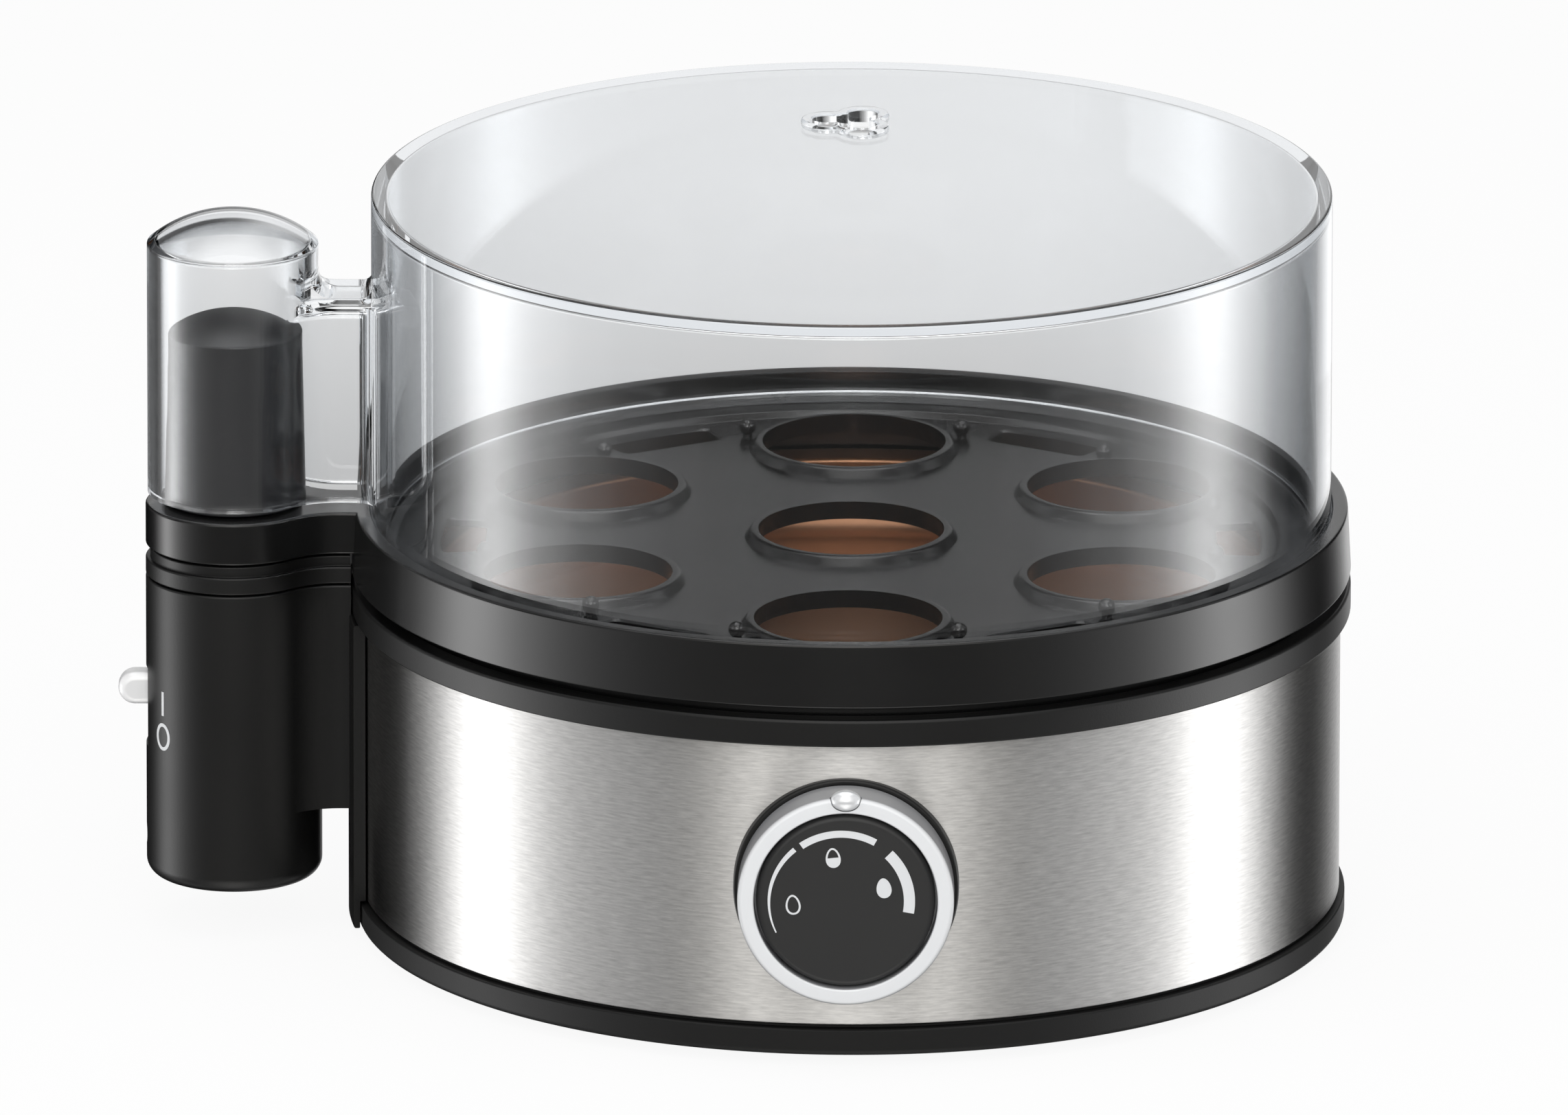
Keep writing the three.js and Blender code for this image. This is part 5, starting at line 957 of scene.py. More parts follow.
def keyhole_parts(inset, end_radius):
    """The outline's stretches: the round part, its angle where the fillets start, and the neck."""
    radius, half, fillet = TOWER_RADIUS - inset, NECK_HALF_WIDTH - inset, NECK_FILLET + inset
    turn = math.asin((half + fillet) / (radius + fillet))
    fillet_x = -TOWER_OFFSET + (radius + fillet) * math.cos(turn)
    swing = np.linspace(math.pi / 2, math.pi - turn, FILLET_STEPS + 1)
    below = on_circle(fillet, swing, (fillet_x, -half - fillet))
    above = below[::-1] * (1, -1)
    around = on_circle(radius, np.linspace(-turn, turn - 2 * math.pi, TOWER_STEPS + 1), TOWER_AXIS)
    spread = math.asin(half / end_radius)
    end = on_circle(end_radius, np.linspace(math.pi - spread, math.pi + spread, END_STEPS + 1))
    return below, around, above, end, turn


def keyhole(inset, end_radius):
    """Closed outline: below the neck, round the tower, back along the neck, and the round end."""
    below, around, above, end, _ = keyhole_parts(inset, end_radius)
    return np.vstack((below[:-1], around, above[1:], end))


def keyhole_loft(name, levels, end_radius):
    """Solid from (inset, height) pairs, one keyhole outline each."""
    return loft(name, [level(keyhole(inset, end_radius), height) for inset, height in levels])


def keyhole_column(name, levels, circles, end_radius):
    """Solid that is a keyhole over the first levels and a plain round column over the others.
    Its first circle shares the round part of the last outline; a flat step closes the neck."""
    turn = keyhole_parts(levels[-1][0], end_radius)[4]
    closing = np.linspace(turn, -turn, CLOSING_STEPS + 1)[1:-1]
    angles = np.concatenate((np.linspace(-turn, turn - 2 * math.pi, TOWER_STEPS + 1), closing))
    outlines = np.array([level(keyhole(step, end_radius), height) for step, height in levels])
    rounds = np.array([level(on_circle(radius, angles, TOWER_AXIS), height)
                       for radius, height in circles])
    count, size = outlines.shape[:2]
    first_circle = count * size
    faces = grid_faces(count, size, False) + [list(range(size))]
    faces += [[corner + first_circle for corner in face]
              for face in grid_faces(len(rounds), len(angles), False)]
    last = first_circle + (len(rounds) - 1) * len(angles)
    if circles[-1][0] > 0:
        faces.append(list(range(last, last + len(angles))))
    start = (count - 1) * size
    after_round = range(start + FILLET_STEPS + TOWER_STEPS, start + size)
    before_round = range(start, start + FILLET_STEPS + 1)
    inner = range(first_circle + TOWER_STEPS + 1, first_circle + len(angles))
    faces.append([*after_round, *before_round, *reversed(inner)])
    return put(name, np.vstack((outlines.reshape(-1, 3), rounds.reshape(-1, 3))), faces)


# %% [markdown]
# ## Tower housing
# The tower stands beside the drum on a pillar that also closes the gap in the steel. Its lower edge
# is well rounded, and the neck starts a little higher than the tower's foot, which leaves a notch.
# The switch has a small recess with a slot, and the pilot lamp has its own hole near the foot. A shell
# from Solidify would get uneven walls in the neck's corners, so the hollow is a body of its own,
# inset by the wall, and cut out.

# %% Housing
TOWER_EDGE = 3.0
NECK_UNDERSIDE = 20.7
HOUSING_TOP = size_of("tower_housing")[1][2]
NECK_END = COLLAR_RADIUS + FIT
PILLAR_RADIUS = DRUM_RADIUS + 2.4
PILLAR_HALF = math.radians(9.6)
PILLAR_FOOT = 0.6
PILLAR_STEPS = 48
LEVER_LOW, LEVER_HIGH = size_of("switch_lever")
LEVER_HEIGHT = middle_of("switch_lever")[2]
LEVER_TRAVEL = 6.0
LEVER_HALF = 3.0
LEVER_HALF_WIDTH = 2.5
RECESS_MARGIN = 0.9
RECESS_DEPTH = 1.0
LAMP_HEIGHT = middle_of("pilot_lamp_lens")[2]
LAMP_HOLE_RADIUS = 2.1
TOP_EDGE = 0.4
tower_front = -TOWER_OFFSET - TOWER_RADIUS
edge = rounded([(0, TOWER_FOOT), (TOWER_RADIUS, TOWER_FOOT), (TOWER_RADIUS, NECK_UNDERSIDE)],
               [0, TOWER_EDGE, 0], closed=False, steps=10)
top_levels = rounded([(0, NECK_UNDERSIDE), (0, HOUSING_TOP), (WALL, HOUSING_TOP)], [0, TOP_EDGE, 0],
                     closed=False)[:-1]
housing = keyhole_column("tower_housing_shell", top_levels[::-1], edge[::-1], NECK_END)
hollow_radius = TOWER_RADIUS - WALL
hollow = keyhole_column("hollow", [(WALL, HOUSING_TOP + OVERRUN), (WALL, NECK_UNDERSIDE + WALL)],
                        [(hollow_radius, NECK_UNDERSIDE + WALL), (hollow_radius, TOWER_FOOT + WALL)],
                        DRUM_RADIUS - OVERRUN)
pillar_section = rounded([
    (DRUM_RADIUS + FIT, JACKET_FOOT), (DRUM_RADIUS + FIT, JACKET_TOP), (PILLAR_RADIUS, JACKET_TOP),
    (PILLAR_RADIUS, PILLAR_FOOT), (PAN_RADIUS + FIT, PILLAR_FOOT), (PAN_RADIUS + FIT, JACKET_FOOT)],
    [0.1, 0.1, 0.4, 0.4, 0.2, 0.1], steps=3)
pillar = swept_section("pillar", pillar_section, math.pi - PILLAR_HALF, math.pi + PILLAR_HALF,
                       PILLAR_STEPS)
slot_low = LEVER_HEIGHT - LEVER_TRAVEL - LEVER_HALF - FIT
slot_high = LEVER_HEIGHT + LEVER_HALF + FIT
recess_half = LEVER_HALF_WIDTH + RECESS_MARGIN
recess = block("recess", (tower_front - OVERRUN, -recess_half, slot_low - RECESS_MARGIN),
               (tower_front + RECESS_DEPTH, recess_half, slot_high + RECESS_MARGIN))
slot = block("slot", (tower_front - OVERRUN, -LEVER_HALF_WIDTH - FIT, slot_low),
             (tower_front + WALL + OVERRUN, LEVER_HALF_WIDTH + FIT, slot_high))
lens_hole = rod_between("lens_hole", LAMP_HOLE_RADIUS, (tower_front - OVERRUN, 0, LAMP_HEIGHT),
                        (tower_front + WALL + OVERRUN, 0, LAMP_HEIGHT), 32)
cut(housing, hollow)
join(housing, pillar)
cut(housing, recess, slot, lens_hole)
dress(housing, BLACK, "base", "black_plastic", "tower_housing")

# %% [markdown]
# ## Tower cap
# The cap closes the tower and has the same outline, with a small step all round under the carrier. It
# could be the housing's top with an edge loop, but a stack of inset outlines makes band, plinth and
# register in one go, and each of them can be changed by one number.

# %% Cap on the tower
CAP_FOOT = HOUSING_TOP + FIT
CAP_BAND_TOP = CAP_FOOT + 3.1
PLINTH_INSET = 0.8
PLINTH_TOP = CAP_BAND_TOP + 1.9
REGISTER_INSET = 3.0
REGISTER_TOP = size_of("tower_cap")[1][2]
cap_levels = rounded([
    (WALL, CAP_FOOT), (0, CAP_FOOT), (0, CAP_BAND_TOP), (PLINTH_INSET, CAP_BAND_TOP),
    (PLINTH_INSET, PLINTH_TOP), (REGISTER_INSET, PLINTH_TOP), (REGISTER_INSET, REGISTER_TOP),
    (REGISTER_INSET + WALL, REGISTER_TOP)],
    [0, 0.35, 0.35, 0.1, 0.3, 0.1, 0.4, 0], closed=False)
cap = keyhole_loft("tower_cap_body", cap_levels[1:-1], NECK_END)
dress(cap, BLACK, "base", "black_plastic", "tower_cap")

# %% [markdown]
# ## Switch lever
# The lever is a short plated tongue with a half-round tip, and a plate behind it slides in the tower.
# A cube with a Bevel would stay square at the tip. So the side outline is drawn once and carried
# across, drawn in at both sides so that the edges are round.

# %% Tongue and plate of the lever
LEVER_EDGE = 2.3
LEVER_TIP_STEPS = 32
PLATE_THICKNESS, PLATE_HALF_WIDTH = 0.9, 4.0


def make_lever():
    """Tongue with a half-round tip: its side outline is carried across, with rounded edges."""
    tip, root = LEVER_LOW[0], LEVER_HIGH[0]
    swing = np.linspace(1.5 * np.pi, 0.5 * np.pi, LEVER_TIP_STEPS + 1)
    nose = on_circle(LEVER_HALF, swing, (tip + LEVER_HALF, 0))
    side = np.vstack(((root, -LEVER_HALF), nose, (root, LEVER_HALF)))
    inward = np.vstack(((0, 1), -on_circle(1, swing), (0, -1)))
    across = rounded([
        (LEVER_HALF, -LEVER_HALF_WIDTH), (0, -LEVER_HALF_WIDTH), (0, LEVER_HALF_WIDTH),
        (LEVER_HALF, LEVER_HALF_WIDTH)], [0, LEVER_EDGE, LEVER_EDGE, 0], closed=False, steps=10)[1:-1]
    rings = [level(side + inward * inset, y) for inset, y in across]
    return loft("switch_lever_tongue", [ring[:, [0, 2, 1]] + (0, 0, LEVER_HEIGHT) for ring in rings])


lever = make_lever()
plate = block("lever_plate", (LEVER_HIGH[0] - PLATE_THICKNESS, -PLATE_HALF_WIDTH, LEVER_LOW[2]),
              (LEVER_HIGH[0], PLATE_HALF_WIDTH, LEVER_HIGH[2]))
join(lever, plate)
dress(lever, SATIN_METAL, "switch", "plated_metal", "switch_lever")

# %% [markdown]
# ## Lens of the pilot lamp
# A small red window near the tower's foot shows that the cooker is on. It is turned like the rest,
# with a flange that holds it behind the wall, and then laid on its side. Its points are moved, and its
# object stays where it is, so that a pattern on it would keep its place.

# %% Lens
LENS_RADIUS, LENS_FLANGE_RADIUS, LENS_FLANGE = 1.8, 2.8, 1.0
lens_front, lens_back = size_of("pilot_lamp_lens")[0][0], size_of("pilot_lamp_lens")[1][0]


def along_x(points):
    """A piece turned about Z, laid along X: its height becomes x, at the lamp's height."""
    return np.column_stack((points[:, 2], points[:, 0], points[:, 1] + LAMP_HEIGHT))


def move_points(piece, mapping):
    """Replaces a piece's points, in millimetres, by mapping(points)."""
    mesh = piece.data
    mesh.vertices.foreach_set("co", (mapping(points_of(mesh)) * MM).ravel())
    work = bmesh.new()
    work.from_mesh(mesh)
    bmesh.ops.recalc_face_normals(work, faces=work.faces)
    work.to_mesh(mesh)
    work.free()
    return piece


lens = revolve("lamp_lens_window", rounded([
    (0, lens_front), (LENS_RADIUS, lens_front), (LENS_RADIUS, lens_back - LENS_FLANGE),
    (LENS_FLANGE_RADIUS, lens_back - LENS_FLANGE), (LENS_FLANGE_RADIUS, lens_back), (0, lens_back)],
    [0, 0.7, 0, 0.2, 0.2, 0], closed=False), sides=48)
move_points(lens, along_x)
dress(lens, LENS, "base", "clear_plastic", "pilot_lamp_lens")

# %% [markdown]
# ## Printed marks of the switch
# The line for on and the ring for off are printed on the tower. A picture would need its own UV map and
# would blur up close, so each mark is a thin flat mesh laid on the round wall: its points are first
# drawn on a flat strip and then wrapped round the tower's axis.

# %% On and off marks
MARK_TURN = math.radians(180 + 37.4)
MARK_PROUD = 0.06
MARK_STROKE = 0.62
ON_HEIGHT, ON_HALF = 40.4, 2.2
OFF_HEIGHT, OFF_HALF_HEIGHT, OFF_HALF_WIDTH = 34.3, 2.5, 1.95


def band(name, outer, inner, low, high):
    """Closed flat band between two outlines, with a small thickness along the third coordinate."""
    rings = np.array([level(outline, depth)
                      for outline, depth in ((outer, low), (outer, high), (inner, high), (inner, low))])
    return put(name, rings.reshape(-1, 3), grid_faces(4, len(outer), True))


def ellipse(centre_x, centre_y, half_width, half_height, count=64):
    """Points round an ellipse."""
    angle = np.linspace(0, 2 * np.pi, count, endpoint=False)
    return np.column_stack((centre_x + half_width * np.cos(angle),
                            centre_y + half_height * np.sin(angle)))


def on_tower(points):
    """Wraps flat points (across, height, proud) round the tower."""
    angle = MARK_TURN + points[:, 0] / TOWER_RADIUS
    radius = TOWER_RADIUS + points[:, 2]
    return np.column_stack((on_circle(radius, angle, TOWER_AXIS), points[:, 1]))


on_outline = rectangle(-MARK_STROKE / 2, ON_HEIGHT - ON_HALF, MARK_STROKE / 2, ON_HEIGHT + ON_HALF)
on_mark = slab("switch_mark_on", on_outline, -MARK_PROUD, MARK_PROUD)
off_mark = band(
    "switch_mark_off", ellipse(0, OFF_HEIGHT, OFF_HALF_WIDTH, OFF_HALF_HEIGHT),
    ellipse(0, OFF_HEIGHT, OFF_HALF_WIDTH - MARK_STROKE, OFF_HALF_HEIGHT - MARK_STROKE),
    -MARK_PROUD, MARK_PROUD)
for mark in (on_mark, off_mark):
    dress(move_points(mark, on_tower), PRINT, "base", "silver_paint")

# %% [markdown]
# ## Knob
# A bezel follows the round steel, a pearl ring turns on it, and a black scale disc stays still inside
# the ring. A torus would be too round for the ring, which has flat sides with small rounded edges. All
# of them are turned about an axis that points to the front, so each is turned upright from its profile
# first and then laid down.

# %% Lay a turned piece on the knob's axis
def on_knob(points):
    """Upright piece to the front: x stays, y becomes height, z points towards the front."""
    return np.column_stack((points[:, 0], -points[:, 2], points[:, 1] + KNOB_HEIGHT))


BEZEL_RADIUS = size_of("knob_bezel")[1][0]
BEZEL_FRONT = -size_of("knob_bezel")[0][1]
BEZEL_BACK = DRUM_RADIUS - 7
BEZEL_BOSS_RADIUS = 14.0
BEZEL_BORE_RADIUS = 6.2
BEZEL_RIM = 0.9
BOSS_SUNK = 0.6  # how far the boss stays behind the bezel's front
bezel = revolve("knob_bezel_ring", rounded([
    (BEZEL_BORE_RADIUS, BEZEL_BACK), (BEZEL_RADIUS, BEZEL_BACK), (BEZEL_RADIUS, BEZEL_FRONT),
    (BEZEL_RADIUS - BEZEL_RIM, BEZEL_FRONT), (BEZEL_BORE_RADIUS, BEZEL_FRONT)],
    [0, 0, 0.5, 0, 0.2]), sides=128)
move_points(bezel, on_knob)
drum_wall = rod_between("drum_wall", DRUM_RADIUS + FIT, (0, 0, KNOB_HEIGHT - BEZEL_RADIUS - OVERRUN),
                        (0, 0, KNOB_HEIGHT + BEZEL_RADIUS + OVERRUN), 384)
boss = move_points(revolve("bezel_boss", rectangle(
    BEZEL_BORE_RADIUS, BEZEL_BACK, BEZEL_BOSS_RADIUS, BEZEL_FRONT - BOSS_SUNK), sides=96), on_knob)
cut(bezel, drum_wall)
join(bezel, boss)
dress(bezel, BLACK, "base", "black_plastic", "knob_bezel")

# %% Pearl ring with its nub
RING_RADIUS = size_of("knob_ring")[1][0]
RING_FRONT = -size_of("knob_ring")[0][1]
RING_BACK = BEZEL_FRONT + FIT
RING_RIM = 2.9
POCKET_RADIUS = RING_RADIUS - RING_RIM
WEB_FRONT = RING_FRONT - 3.6
WEB_BACK = WEB_FRONT - 1.5
SLEEVE_RADIUS, SLEEVE_BORE = 5.7, 3.3
SLEEVE_BACK = -size_of("knob_ring")[1][1]
NUB_HALF = (2.7, 1.9, 1.7)
NUB_HEIGHT = middle_of("pointer_nub")[2] - KNOB_HEIGHT
NUB_DEPTH = -middle_of("pointer_nub")[1]
knob = revolve("knob_ring_body", rounded([
    (SLEEVE_BORE, SLEEVE_BACK), (SLEEVE_RADIUS, SLEEVE_BACK), (SLEEVE_RADIUS, WEB_BACK),
    (POCKET_RADIUS, WEB_BACK), (POCKET_RADIUS, RING_BACK), (RING_RADIUS, RING_BACK),
    (RING_RADIUS, RING_FRONT), (POCKET_RADIUS, RING_FRONT), (POCKET_RADIUS, WEB_FRONT),
    (SLEEVE_BORE, WEB_FRONT)],
    [0.2, 0.2, 0.3, 0.3, 0.2, 0.3, 0.8, 0.35, 0.3, 0.2]), sides=160)


def bead(name, half, centre, columns=48, rows=24):
    """Ellipsoid: x = a cos u cos v, y = b sin v, z = c sin u cos v."""
    v = np.linspace(-np.pi / 2, np.pi / 2, rows + 1)[:, None]
    u = np.linspace(0, 2 * np.pi, columns, endpoint=False)[None, :]
    points = np.stack((half[0] * np.cos(u) * np.cos(v), half[1] * np.sin(v) * np.ones_like(u),
                       half[2] * np.sin(u) * np.cos(v)), -1).reshape(-1, 3)
    return put(name, points + centre, grid_faces(rows + 1, columns, False))


nub_place = (0, NUB_HEIGHT, NUB_DEPTH)
cut(knob, bead("nub_seat", [value + FIT / 2 for value in NUB_HALF], nub_place))
dress(move_points(knob, on_knob), PEARL, "knob", "silver_paint", "knob_ring")
nub = move_points(bead("pointer_nub_bead", NUB_HALF, nub_place), on_knob)
dress(nub, PEARL_METAL, "knob", "silver_paint", "pointer_nub")

# %% Scale disc
DISC_RADIUS = size_of("dial_disc")[1][0]
DISC_FRONT = -size_of("dial_disc")[0][1]
DISC_BACK = WEB_FRONT + FIT
DISC_POST_RADIUS = 3.0
DISC_POST_BACK = -size_of("dial_disc")[1][1]
disc = revolve("dial_disc_body", rounded([
    (0, DISC_POST_BACK), (DISC_POST_RADIUS, DISC_POST_BACK), (DISC_POST_RADIUS, DISC_BACK),
    (DISC_RADIUS, DISC_BACK), (DISC_RADIUS, DISC_FRONT), (0, DISC_FRONT)],
    [0, 0.3, 0, 0.2, 1.1, 0], closed=False, steps=7), sides=160)
dress(move_points(disc, on_knob), DISC_BLACK, "base", "black_plastic", "dial_disc")

# %% [markdown]
# ## Scale on the disc
# Three arcs and three small ovals tell soft from hard: the first arc swells from a hairline, the last
# is the thickest, and the ovals go from an outline to half full to full. They are generic marks. A
# picture laid on the disc would blur up close, so they are drawn as thin flat meshes. The whole print
# sits a little left of the middle and slightly turned.

# %% Arcs and ovals
SCALE_RADIUS = 12.9
SCALE_SHIFT = -0.75
SCALE_ARCS = (  # from, to in degrees clockwise from the top, thickness at both ends
    (-117, -41, 0.22, 0.90), (-35, 29, 1.27, 1.27), (44, 100, 1.95, 1.95))
OVAL_HALF = (1.30, 1.82)
OVAL_NARROWING = 0.16
OVAL_STROKE = 0.33
OVAL_OVERLAP = 0.9  # of the stroke: the half-full oval's filling reaches under its outline
OVAL_TILT = math.radians(6)
OVALS = ((-9.2, -0.7, "outline"), (-2.2, 7.9, "half"), (6.7, 2.4, "full"))
PRINT_PROUD = 0.05
FILLING_PROUD = 0.9 * PRINT_PROUD  # a little lower than the outline, which it reaches under


def clock(radius, degrees):
    """Points at an angle clockwise from the top, seen from the front."""
    angle = np.radians(degrees)
    return np.column_stack((SCALE_SHIFT + radius * np.sin(angle), radius * np.cos(angle)))


def arc_outline(start, end, thick_start, thick_end, steps=32):
    """Outer edge on the scale's circle, inner edge drawn in by a thickness that changes steadily."""
    degrees = np.linspace(start, end, steps + 1)
    thickness = np.linspace(thick_start, thick_end, steps + 1)
    return np.vstack((clock(SCALE_RADIUS, degrees), clock(SCALE_RADIUS - thickness, degrees)[::-1]))


def oval(centre_x, centre_y, shrink=0.0, lower_only=False, count=48):
    """Oval that narrows towards its top: half width times (1 - narrowing sin), tilted a little."""
    start = np.pi if lower_only else 0
    angle = np.linspace(start, 2 * np.pi, count, endpoint=lower_only)
    across = (OVAL_HALF[0] - shrink) * np.cos(angle) * (1 - OVAL_NARROWING * np.sin(angle))
    up = (OVAL_HALF[1] - shrink) * np.sin(angle)
    turned_x = across * math.cos(OVAL_TILT) - up * math.sin(OVAL_TILT)
    turned_y = across * math.sin(OVAL_TILT) + up * math.cos(OVAL_TILT)
    return np.column_stack((centre_x + turned_x, centre_y + turned_y))


def printed(outline, hole=None, proud=PRINT_PROUD):
    """Flat mark that stands a little proud of the disc and reaches a little into it."""
    low, high = DISC_FRONT - PRINT_PROUD, DISC_FRONT + proud
    return slab("mark", outline, low, high) if hole is None else band("mark", outline, hole, low, high)


scale_pieces = [printed(arc_outline(*values)) for values in SCALE_ARCS]
for x, y, kind in OVALS:
    scale_pieces.append(printed(oval(x, y), None if kind == "full" else oval(x, y, OVAL_STROKE)))
    if kind == "half":
        filling = oval(x, y, OVAL_STROKE * OVAL_OVERLAP, lower_only=True)
        scale_pieces.append(printed(filling, proud=FILLING_PROUD))
scale = move_points(together("dial_scale_print", scale_pieces), on_knob)
dress(scale, PRINT, "base", "silver_paint")

# %% [markdown]
# ## Heating bowl, gland and feet
# The bowl is pressed sheet with a copper-brown coating; it shows through the windows and the seats.
# Its corner is a true quarter round, which a turned profile gives with an even sheet thickness. The
# gland and the feet are small rubber pieces, turned too.

# %% Bowl
BOWL_RADIUS = LEDGE_INNER_RADIUS - 2.5
BOWL_FLANGE_RADIUS = size_of("heating_bowl")[1][0]
BOWL_TOP = size_of("heating_bowl")[1][2]
BOWL_DEPTH = 13.0
BOWL_CORNER = 9.0
BOWL_SHEET = 1.2
STUD_RADIUS = 2.0
bowl_floor = BOWL_TOP - BOWL_DEPTH
bowl = revolve("heating_bowl_dish", rounded([
    (0, bowl_floor), (BOWL_RADIUS, bowl_floor), (BOWL_RADIUS, BOWL_TOP), (BOWL_FLANGE_RADIUS, BOWL_TOP),
    (BOWL_FLANGE_RADIUS, BOWL_TOP - BOWL_SHEET), (BOWL_RADIUS + BOWL_SHEET, BOWL_TOP - BOWL_SHEET),
    (BOWL_RADIUS + BOWL_SHEET, bowl_floor - BOWL_SHEET), (0, bowl_floor - BOWL_SHEET)],
    [0, BOWL_CORNER, 0.8, 0.3, 0.3, 0.3, BOWL_CORNER + BOWL_SHEET, 0], closed=False, steps=8))
stud_foot = size_of("heating_bowl")[0][2]
stud = rods("stud", STUD_RADIUS, stud_foot, bowl_floor - BOWL_SHEET / 2, [(0, 0)], 24)
join(bowl, stud)
dress(bowl, COPPER_COAT, "base", "coated_aluminium", "heating_bowl")

# %% Gland and feet
GLAND_FLANGE_RADIUS = size_of("cable_gland")[1][0]
GLAND_FRONT, GLAND_BACK = size_of("cable_gland")[0][1], size_of("cable_gland")[1][1]
GLAND_BORE, GLAND_BODY = 3.6, 5.8


def on_gland(points):
    """Upright piece to the rear: its height becomes y, at the gland's height."""
    return np.column_stack((-points[:, 0], points[:, 2], points[:, 1] + GLAND_HEIGHT))


gland = revolve("cable_gland_bush", rounded([
    (GLAND_BORE, GLAND_FRONT), (GLAND_BODY, GLAND_FRONT), (GLAND_BODY, DRUM_RADIUS + FIT),
    (GLAND_FLANGE_RADIUS, DRUM_RADIUS + FIT), (GLAND_FLANGE_RADIUS, GLAND_BACK),
    (GLAND_BORE, GLAND_BACK)],
    [0.3, 0.3, 0.1, 0.2, 0.9, 0.5]), sides=64)
move_points(gland, on_gland)
dress(gland, RUBBER, "base", "rubber", "cable_gland")
CORNERS = ("rear_right", "rear_left", "front_left", "front_right")
for corner, place in zip(CORNERS, foot_places):
    low, high = size_of(f"foot_{corner}")
    profile = rounded(rectangle(0, low[2], FOOT_RADIUS, high[2]), [0, 0.7, 0.2, 0], closed=False)
    foot = revolve(f"rubber_foot_{corner}", profile, place, 64)
    dress(foot, RUBBER, "base", "rubber", f"foot_{corner}")

# %% [markdown]
# ## Carrier
# The carrier is one moulding: the outer ring that carries the lid, the tray with seven seats, steam
# windows, ball-ended pegs, and the segment over the tower. A sixth of it could be modelled and repeated,
# but the tower's segment breaks that symmetry. So it is turned first; then the lips, pegs and segment
# are joined on and the seats and windows cut, in one go each.

# %% Turned body of the carrier
RING_FOOT = COLLAR_TOP + 2.1
RING_TAPER = 0.6
RING_EDGE = 0.5
LID_SEAT = LID_FOOT - FIT
LID_SEAT_INNER = COLLAR_RADIUS - 6.6
TRAY_RADIUS = COLLAR_RADIUS - 13.2
TRAY_TOP = LID_SEAT - 2
TRAY_FOOT = TRAY_TOP - 1.6
TRAY_STEP = 1.2
LEDGE_SLOPE, TRAY_SLOPE = 1.5, 0.5  # how far the two steps to the tray lean inwards
SKIRT_RADIUS = COLLAR_RIM_RADIUS - 2 * FIT
SKIRT_FOOT = LEDGE + FIT
RING_INNER = LID_RADIUS + FIT
carrier = revolve("carrier_tray", rounded([
    (0, TRAY_FOOT), (SKIRT_RADIUS - WALL, TRAY_FOOT), (SKIRT_RADIUS - WALL, SKIRT_FOOT),
    (SKIRT_RADIUS, SKIRT_FOOT), (SKIRT_RADIUS, RING_FOOT), (COLLAR_RADIUS, RING_FOOT),
    (COLLAR_RADIUS - RING_TAPER, RING_TOP), (RING_INNER, RING_TOP), (RING_INNER, LID_SEAT),
    (LID_SEAT_INNER, LID_SEAT), (LID_SEAT_INNER - LEDGE_SLOPE, TRAY_TOP + TRAY_STEP),
    (TRAY_RADIUS + TRAY_SLOPE, TRAY_TOP + TRAY_STEP), (TRAY_RADIUS, TRAY_TOP), (0, TRAY_TOP),
], [0, 0.5, 0.3, 0.3, 0.3, 0.4, RING_EDGE, 0.35, 0.3, 0.5, 0.6, 0.4, 0.3, 0], closed=False))

# %% Seats, pegs, windows and the tower segment
SEAT_CIRCLE = TRAY_RADIUS - 20.4
SEAT_RADIUS = 16.5
LIP_WIDTH = 2.6
LIP_HEIGHT = 1.6
LIP_DRAFT = 0.2
SUNK = 0.8  # how far lips and pegs reach into the tray
SEAT_TURNS = np.radians(np.arange(-90, 270, 60))
PEG_CIRCLE = TRAY_RADIUS - 9.4
PEG_TURN = math.radians(17)
PEG_RADIUS, PEG_BALL = 1.0, 1.5
PEG_NECK = -1.0  # angle at which the ball starts, in radians
PEG_TOP = TRAY_TOP + 3.2
WINDOW_OUTER = TRAY_RADIUS - 2.8
WINDOW_INNER = WINDOW_OUTER - 7.1
WINDOW_HALF = math.radians(8.5)
WINDOW_CORNER = 1.6
WINDOW_TURNS = SEAT_TURNS + math.radians(30)
WINDOW_RIM_STEPS = 8
CHAMFER = 0.4
JUST_ABOVE = 0.05  # the chamfer ends this far over the tray's top
SEGMENT_FOOT = RING_FOOT + 3.9
SEGMENT_CEILING = RING_TOP - 2.2
SEGMENT_END = COLLAR_RADIUS - 1.8
seat_places = np.vstack(((0, 0), on_circle(SEAT_CIRCLE, SEAT_TURNS)))
lip_section = rounded([
    (SEAT_RADIUS - OVERRUN, TRAY_TOP - SUNK), (SEAT_RADIUS + LIP_WIDTH, TRAY_TOP - SUNK),
    (SEAT_RADIUS + LIP_WIDTH - LIP_DRAFT, TRAY_TOP),
    (SEAT_RADIUS + LIP_WIDTH / 2, TRAY_TOP + LIP_HEIGHT),
    (SEAT_RADIUS - OVERRUN, TRAY_TOP + LIP_HEIGHT)], [0, 0, 0.3, 1.0, 0])
lips = together("lips", [revolve("lip", lip_section, place, 96) for place in seat_places])
ball = on_circle(PEG_BALL, np.linspace(PEG_NECK, np.pi / 2, 13), (0, PEG_TOP - PEG_BALL))
ball[-1, 0] = 0
peg_profile = np.vstack(((0, TRAY_TOP - SUNK), (PEG_RADIUS, TRAY_TOP - SUNK), ball))
peg_turns = np.concatenate((SEAT_TURNS - PEG_TURN, SEAT_TURNS + PEG_TURN))
pegs = together("pegs", [revolve("peg", peg_profile, place, 24)
                         for place in on_circle(PEG_CIRCLE, peg_turns)])
